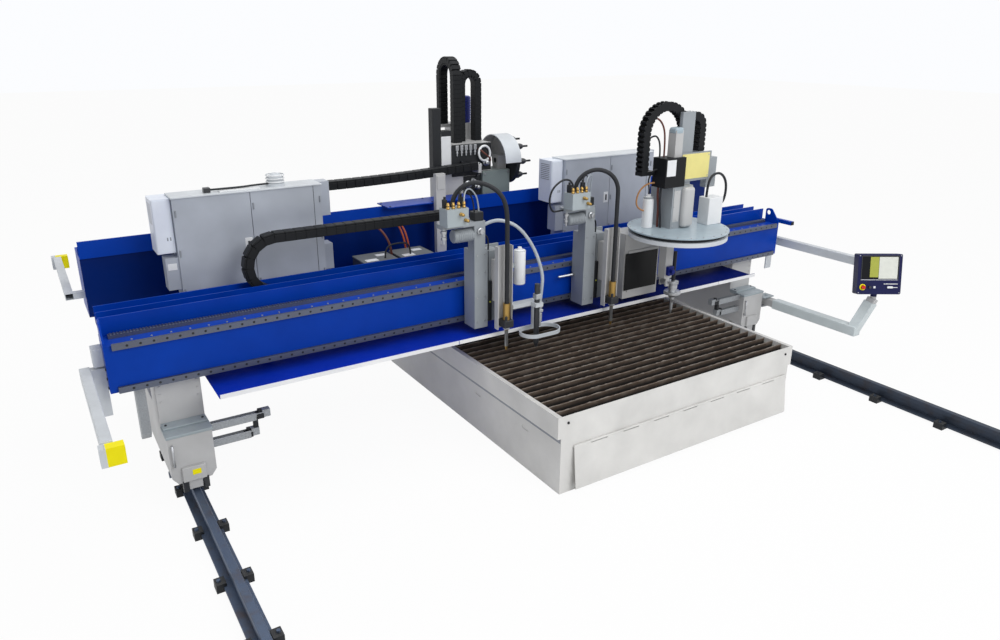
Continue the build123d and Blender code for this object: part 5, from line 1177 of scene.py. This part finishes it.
class MACHINE_OT_rotator(Operator):
    """Seal, bolts, jar, bare plates and hoses of the rotator, and the panel of its carriage"""

    bl_idname = "machine.rotator"
    bl_label = "Rotator"

    def execute(self, context):
        seal = ((0.4795, 0.0), (0.487, 0.002), (0.489, 0.01), (0.489, 0.028), (0.487, 0.036), (0.4795, 0.037))
        build(
            "rotator_seal", "lead_rubber", "bevel", "machine_dark",
            (turned, (ROTATOR_X, ROTATOR_Y, 1.907), UP, seal, 96), smooth=True,
        )
        sheet = (slab, (1.092, -0.487, 1.23), (1.56, -0.4815, 1.645), 0.002, 1)
        build("carriage_panel", "black_panel", "bevel", "machine_dark", sheet)
        rim = [(ROTATOR_X + dx, ROTATOR_Y + dy, 1.958) for dx, dy in ring_of(24, 0.505)]
        build(
            "rotator_bolts", "turned_steel", "rotator", "bright_steel",
            (heads, rim, UP, 0.009, 0.006),
            (heads, [(x, -0.82, z) for x in (1.4, 1.635) for z in (1.99, 2.19, 2.37)], FRONT, 0.009, 0.006),
            (heads, [(x, -0.7445, z) for x in (1.57, 1.94) for z in (2.47, 2.69)], FRONT, 0.008, 0.003, 12),
        )
        jar = (
            (0.05, 0.002), (0.0575, 0.003), (0.0575, 0.3), (0.05, 0.318), (0.03, 0.327), (0.024, 0.33), (0.024, 0.352),
            (0, 0.353),
        )
        build(
            "rotator_white", "white_plastic", "rotator", "off_white",
            (turned, (1.237, -0.615, 1.958), UP, jar, 28),
            (slab, (1.255, -0.8335, 2.52), (1.38, -0.8295, 2.685), 0.001, 1),
            (slab, (1.846, -0.901, 1.958), (2.054, -0.749, 2.25), 0.007),
        )
        sheet = (slab, (1.552, -0.7445, 2.45), (1.958, -0.7395, 2.712), 0.002, 1)
        build("rotator_plate", "plate_yellow", "rotator", "signal_yellow", sheet)
        build(
            "tower_cover", "frame_enamel", "rotator", "light_grey",
            (slab, (1.5, -0.88, 1.966), (1.652, -0.8, 2.392), 0.035, 5),
            (slab, (1.395, -0.825, 2.03), (1.485, -0.8195, 2.36), 0.003, 1),
            (heads, [(1.44, -0.825, z) for z in (2.05, 2.34)], FRONT, 0.008, 0.005),
        )
        clamp = (
            (0.024, 0), (0.05, 0.002), (0.05, 0.045), (0.04, 0.05), (0.04, 0.075), (0.088, 0.08), (0.092, 0.084),
            (0.092, 0.108), (0.086, 0.114), (0.05, 0.118), (0.03, 0.15), (0.0255, 0.152),
        )
        cross = ((0.07, 0), (-0.07, 0), (0, 0.07), (0, -0.07))
        build(
            "bevel_clamp", "turned_steel", "bevel_head", "bright_steel",
            (turned, (ROTATOR_X, ROTATOR_Y, 1.32), DOWN, clamp, 32),
            (slab, (1.455, -0.835, 1.335), (1.56, -0.792, 1.365), 0.004, 1),
            (heads, [(x, -0.835, 1.35) for x in (1.475, 1.54)], FRONT, 0.009, 0.008),
            (heads, [(ROTATOR_X + dx, ROTATOR_Y + dy, 1.2395) for dx, dy in cross], UP, 0.008, 0.006),
        )
        motor_end = ((0, 0), (0.026, 0), (0.026, 0.03), (0.02, 0.036), (0, 0.037))
        build(
            "tilt_motor", "motor_enamel", "bevel_column", "motor_blue",
            (slab, (1.4, -0.83, 1.44), (1.48, -0.787, 1.54), 0.006),
            (turned, (1.44, -0.83, 1.49), FRONT, motor_end, 18),
        )
        cap = (slab, (1.384, -0.792, 2.93), (1.496, -0.678, 3.0), 0.025, 4)
        build("post_cap", "disc_enamel", "bevel_column", "off_white", cap, smooth=True)
        hose("case_hose", "rotator", 0.0135, (
            (1.88, -0.82, 2.248), (1.88, -0.82, 2.37), (1.93, -0.82, 2.48), (2.06, -0.82, 2.5), (2.16, -0.82, 2.41),
            (2.18, -0.82, 2.27), (2.14, -0.82, 2.15), (2.05, -0.82, 2.12),
        ))
        hose("jar_hose", "rotator", 0.008, (
            (1.237, -0.615, 2.31), (1.237, -0.615, 2.37), (1.2, -0.625, 2.45), (1.195, -0.66, 2.53),
            (1.215, -0.69, 2.58), (1.245, -0.7, 2.58),
        ))
        hose("tan_cable", "rotator", 0.009, (
            (1.24, -0.68, 2.44), (1.18, -0.65, 2.44), (1.11, -0.6, 2.36), (1.09, -0.58, 2.24), (1.12, -0.59, 2.16),
            (1.18, -0.61, 2.14),
        ), "tan_rubber")
        hose("mast_hose", "rotator", 0.0093, (
            (1.36, -0.665, 2.7), (1.36, -0.665, 2.84), (1.345, -0.66, 2.98), (1.29, -0.65, 3.07), (1.21, -0.64, 3.1),
            (1.15, -0.635, 3.05),
        ), "red_rubber")
        for k, (y, rubber) in enumerate(((-0.74, "lead_rubber"), (-0.7, "red_rubber"))):
            hose(f"tower_cable_{k}", "rotator", 0.012, (
                (1.28, y, 2.41), (1.275, y, 2.3), (1.3 + 0.02 * k, y + 0.02, 2.18), (1.33, y + 0.03, 2.06),
                (1.335, y + 0.03, 1.957),
            ), rubber)
        swinging_hose("bevel_hose", (
            (1.521, -0.79, 1.69), (1.521, -0.79, 1.6), (1.524, -0.787, 1.5), (1.53, -0.78, 1.42), (1.53, -0.78, 1.355),
        ), 0.02, "lead_rubber")
        hose("mast_cable", "rotator", 0.009, (
            (1.3, -0.665, 2.7), (1.3, -0.665, 2.78), (1.28, -0.66, 2.88), (1.22, -0.65, 2.93), (1.15, -0.635, 2.88),
        ))
        return {"FINISHED"}


class MACHINE_OT_drill_dressing(Operator):
    """Covers, fittings and tool holders of the drill"""

    bl_idname = "machine.drill_dressing"
    bl_label = "Drill dressing"

    def execute(self, context):
        steel = bmesh.new()
        nipple = (
            (0, 0), (0.012, 0), (0.012, 0.014), (0.016, 0.016), (0.016, 0.03), (0.009, 0.034), (0.009, 0.06),
            (0, 0.061),
        )
        for k in range(5):
            slab(steel, (-0.01 + 0.06 * k, 1.27, 2.62), (0.03 + 0.06 * k, 1.2885, 2.68), 0.004)
            turned(steel, (0.01 + 0.06 * k, 1.28, 2.62), DOWN, nipple, 12)
        for x, z, wide in (
            (0.15, 2.22, 0.045), (0.275, 2.18, 0.032), (0.22, 2.26, 0.028), (0.4, 2.46, 0.04), (0.3, 2.44, 0.03),
        ):
            neck, tip = wide * 0.7, wide * 0.4
            coupling = ((0, 0), (wide, 0), (wide, 0.02), (neck, 0.026), (neck, 0.06), (tip, 0.066), (0, 0.067))
            turned(steel, (x, 1.289, z), FRONT, coupling, 18)
        heads(steel, [(x, 1.251, z) for x in (0.365, 0.695) for z in (2.09, 2.33)], FRONT, 0.013, 0.008)
        valve_box = (slab, (-0.186, 1.296, 2.42), (-0.06, 1.3995, 2.79), 0.006)
        build("drill_valve_box", "white_plastic", "drill", "off_white", valve_box)
        build(
            "drill_covers", "dark_enamel", "drill", "machine_dark",
            (slab, (-0.294, 1.296, 2.36), (-0.187, 1.3995, 3.105), 0.006),
            (slab, (-0.187, 1.2975, 2.79), (-0.058, 1.398, 2.853), 0.004),
            (slab, (-0.056, 1.288, 2.32), (0.335, DRILL_FACE, 2.688), 0.006),
            (slab, (0.335, 1.288, 2.37), (0.478, DRILL_FACE, 2.688), 0.006),
            (slab, (0.1, 1.2895, 2.03), (0.335, DRILL_FACE, 2.315), 0.004),
        )
        build(
            "carousel_base_cover", "base_enamel", "drill", "light_grey",
            (slab, (0.337, 1.251, 2.02), (0.723, 1.528, 2.361), 0.006),
            (slab, (0.3, 1.245, 2.018), (0.74, 1.262, 2.06), 0.004, 1),
        )
        place_piece("drill_fittings", steel, "turned_steel", "drill")
        # Pale band over the upper half of the tool guard
        band = ((0.3, 0), (0.309, 0), (0.3105, 0.004), (0.3105, 0.214), (0.309, 0.219), (0.3, 0.219), (0.3, 0))
        bm = bmesh.new()
        turned(bm, (0.558, CAROUSEL_Y, CAROUSEL_Z), RIGHT, band, 64)
        bmesh.ops.bisect_plane(
            bm, geom=bm.verts[:] + bm.edges[:] + bm.faces[:], plane_co=(0, 0, 2.46), plane_no=UP, clear_inner=True
        )
        bmesh.ops.holes_fill(bm, edges=[e for e in bm.edges if e.is_boundary])
        place_piece("guard_band", bm, "pale_enamel", "drill")
        # Ring that holds the bundle of cables beside the column
        circle = ring_of(10, 0.014)
        circle = [(0.085 + dx, dz) for dx, dz in (*circle, circle[0])]
        ring = (turned, (0.37, 1.262, 2.57), (0.15, -1, 0.1), circle, 32)
        build("cable_ring", "white_plastic", "drill", "off_white", ring, smooth=True)
        hose("drill_cable_0", "drill", 0.01, (
            (0.3, 1.288, 2.62), (0.3, 1.24, 2.62), (0.33, 1.2, 2.58), (0.4, 1.2, 2.53), (0.44, 1.23, 2.48),
            (0.45, 1.288, 2.47),
        ), "red_rubber")
        hose("drill_cable_1", "drill", 0.01, (
            (0.06, 1.288, 2.5), (0.06, 1.23, 2.49), (0.12, 1.2, 2.43), (0.2, 1.2, 2.4), (0.26, 1.22, 2.36),
            (0.27, 1.2885, 2.3),
        ))
        holder = (
            (0.02, 0), (0.036, 0.002), (0.036, 0.03), (0.031, 0.034), (0.031, 0.05), (0.036, 0.054), (0.036, 0.07),
            (0.03, 0.09), (0.018, 0.11), (0.0125, 0.112),
        )
        spots = [(0.777, CAROUSEL_Y + dy, CAROUSEL_Z + dz) for dy, dz in ring_of(8, 0.235)]
        holders = [(turned, spot, RIGHT, holder, 16) for spot in spots]
        build("tool_holders", "knob_plastic", "tool_carousel", "machine_dark", *holders, smooth=True)
        # Cooling fins of the drill's motor
        motor = (
            (0.1, 0.01), *fins(0.106, 0.1105, 0.02, 0.028, 0.016, 9), (0.107, 0.28), (0.107, 0.298), (0.09, 0.31),
            (0, 0.312),
        )
        motor_fins = (turned, (0.39, 1.825, 2.88), UP, motor, 36)
        build("drill_motor_fins", "motor_enamel", "drill_head", "motor_blue", motor_fins)
        return {"FINISHED"}


OPERATORS = (
    MACHINE_OT_stage,
    MACHINE_OT_leads,
    MACHINE_OT_finishes,
    MACHINE_OT_long_chains,
    MACHINE_OT_drill_chains,
    MACHINE_OT_guides,
    MACHINE_OT_cabinets,
    MACHINE_OT_deck,
    MACHINE_OT_table_dressing,
    MACHINE_OT_trucks,
    MACHINE_OT_rail_bolts,
    MACHINE_OT_console_face,
    MACHINE_OT_barriers,
    MACHINE_OT_stations,
    MACHINE_OT_rotator,
    MACHINE_OT_drill_dressing,
)


class MACHINE_PT_panel(Panel):
    """Lists the machine's operators"""

    bl_idname = "MACHINE_PT_panel"
    bl_label = "Cutting machine"
    bl_space_type = "VIEW_3D"
    bl_region_type = "UI"
    bl_category = "Machine"

    def draw(self, context):
        for operator in OPERATORS:
            self.layout.operator(operator.bl_idname)


CLASSES = (MachineColours, MachineSizes, *OPERATORS, MACHINE_PT_panel)


def register():
    """Registers the classes and the settings."""
    for kind in CLASSES:
        bpy.utils.register_class(kind)
    bpy.types.Scene.machine_colours = PointerProperty(type=MachineColours)
    bpy.types.Scene.machine_sizes = PointerProperty(type=MachineSizes)


def unregister():
    """Removes the settings and the classes."""
    del bpy.types.Scene.machine_sizes
    del bpy.types.Scene.machine_colours
    for kind in reversed(CLASSES):
        bpy.utils.unregister_class(kind)


def main():
    """Builds the looks in order."""
    register()
    bpy.ops.machine.stage()
    bpy.ops.machine.leads()
    bpy.ops.machine.finishes()
    bpy.ops.machine.long_chains()
    bpy.ops.machine.drill_chains()
    bpy.ops.machine.guides()
    bpy.ops.machine.cabinets()
    bpy.ops.machine.deck()
    bpy.ops.machine.table_dressing()
    bpy.ops.machine.trucks()
    bpy.ops.machine.rail_bolts()
    bpy.ops.machine.console_face()
    bpy.ops.machine.barriers()
    bpy.ops.machine.stations()
    bpy.ops.machine.rotator()
    bpy.ops.machine.drill_dressing()


if __name__ == "__main__":
    main()
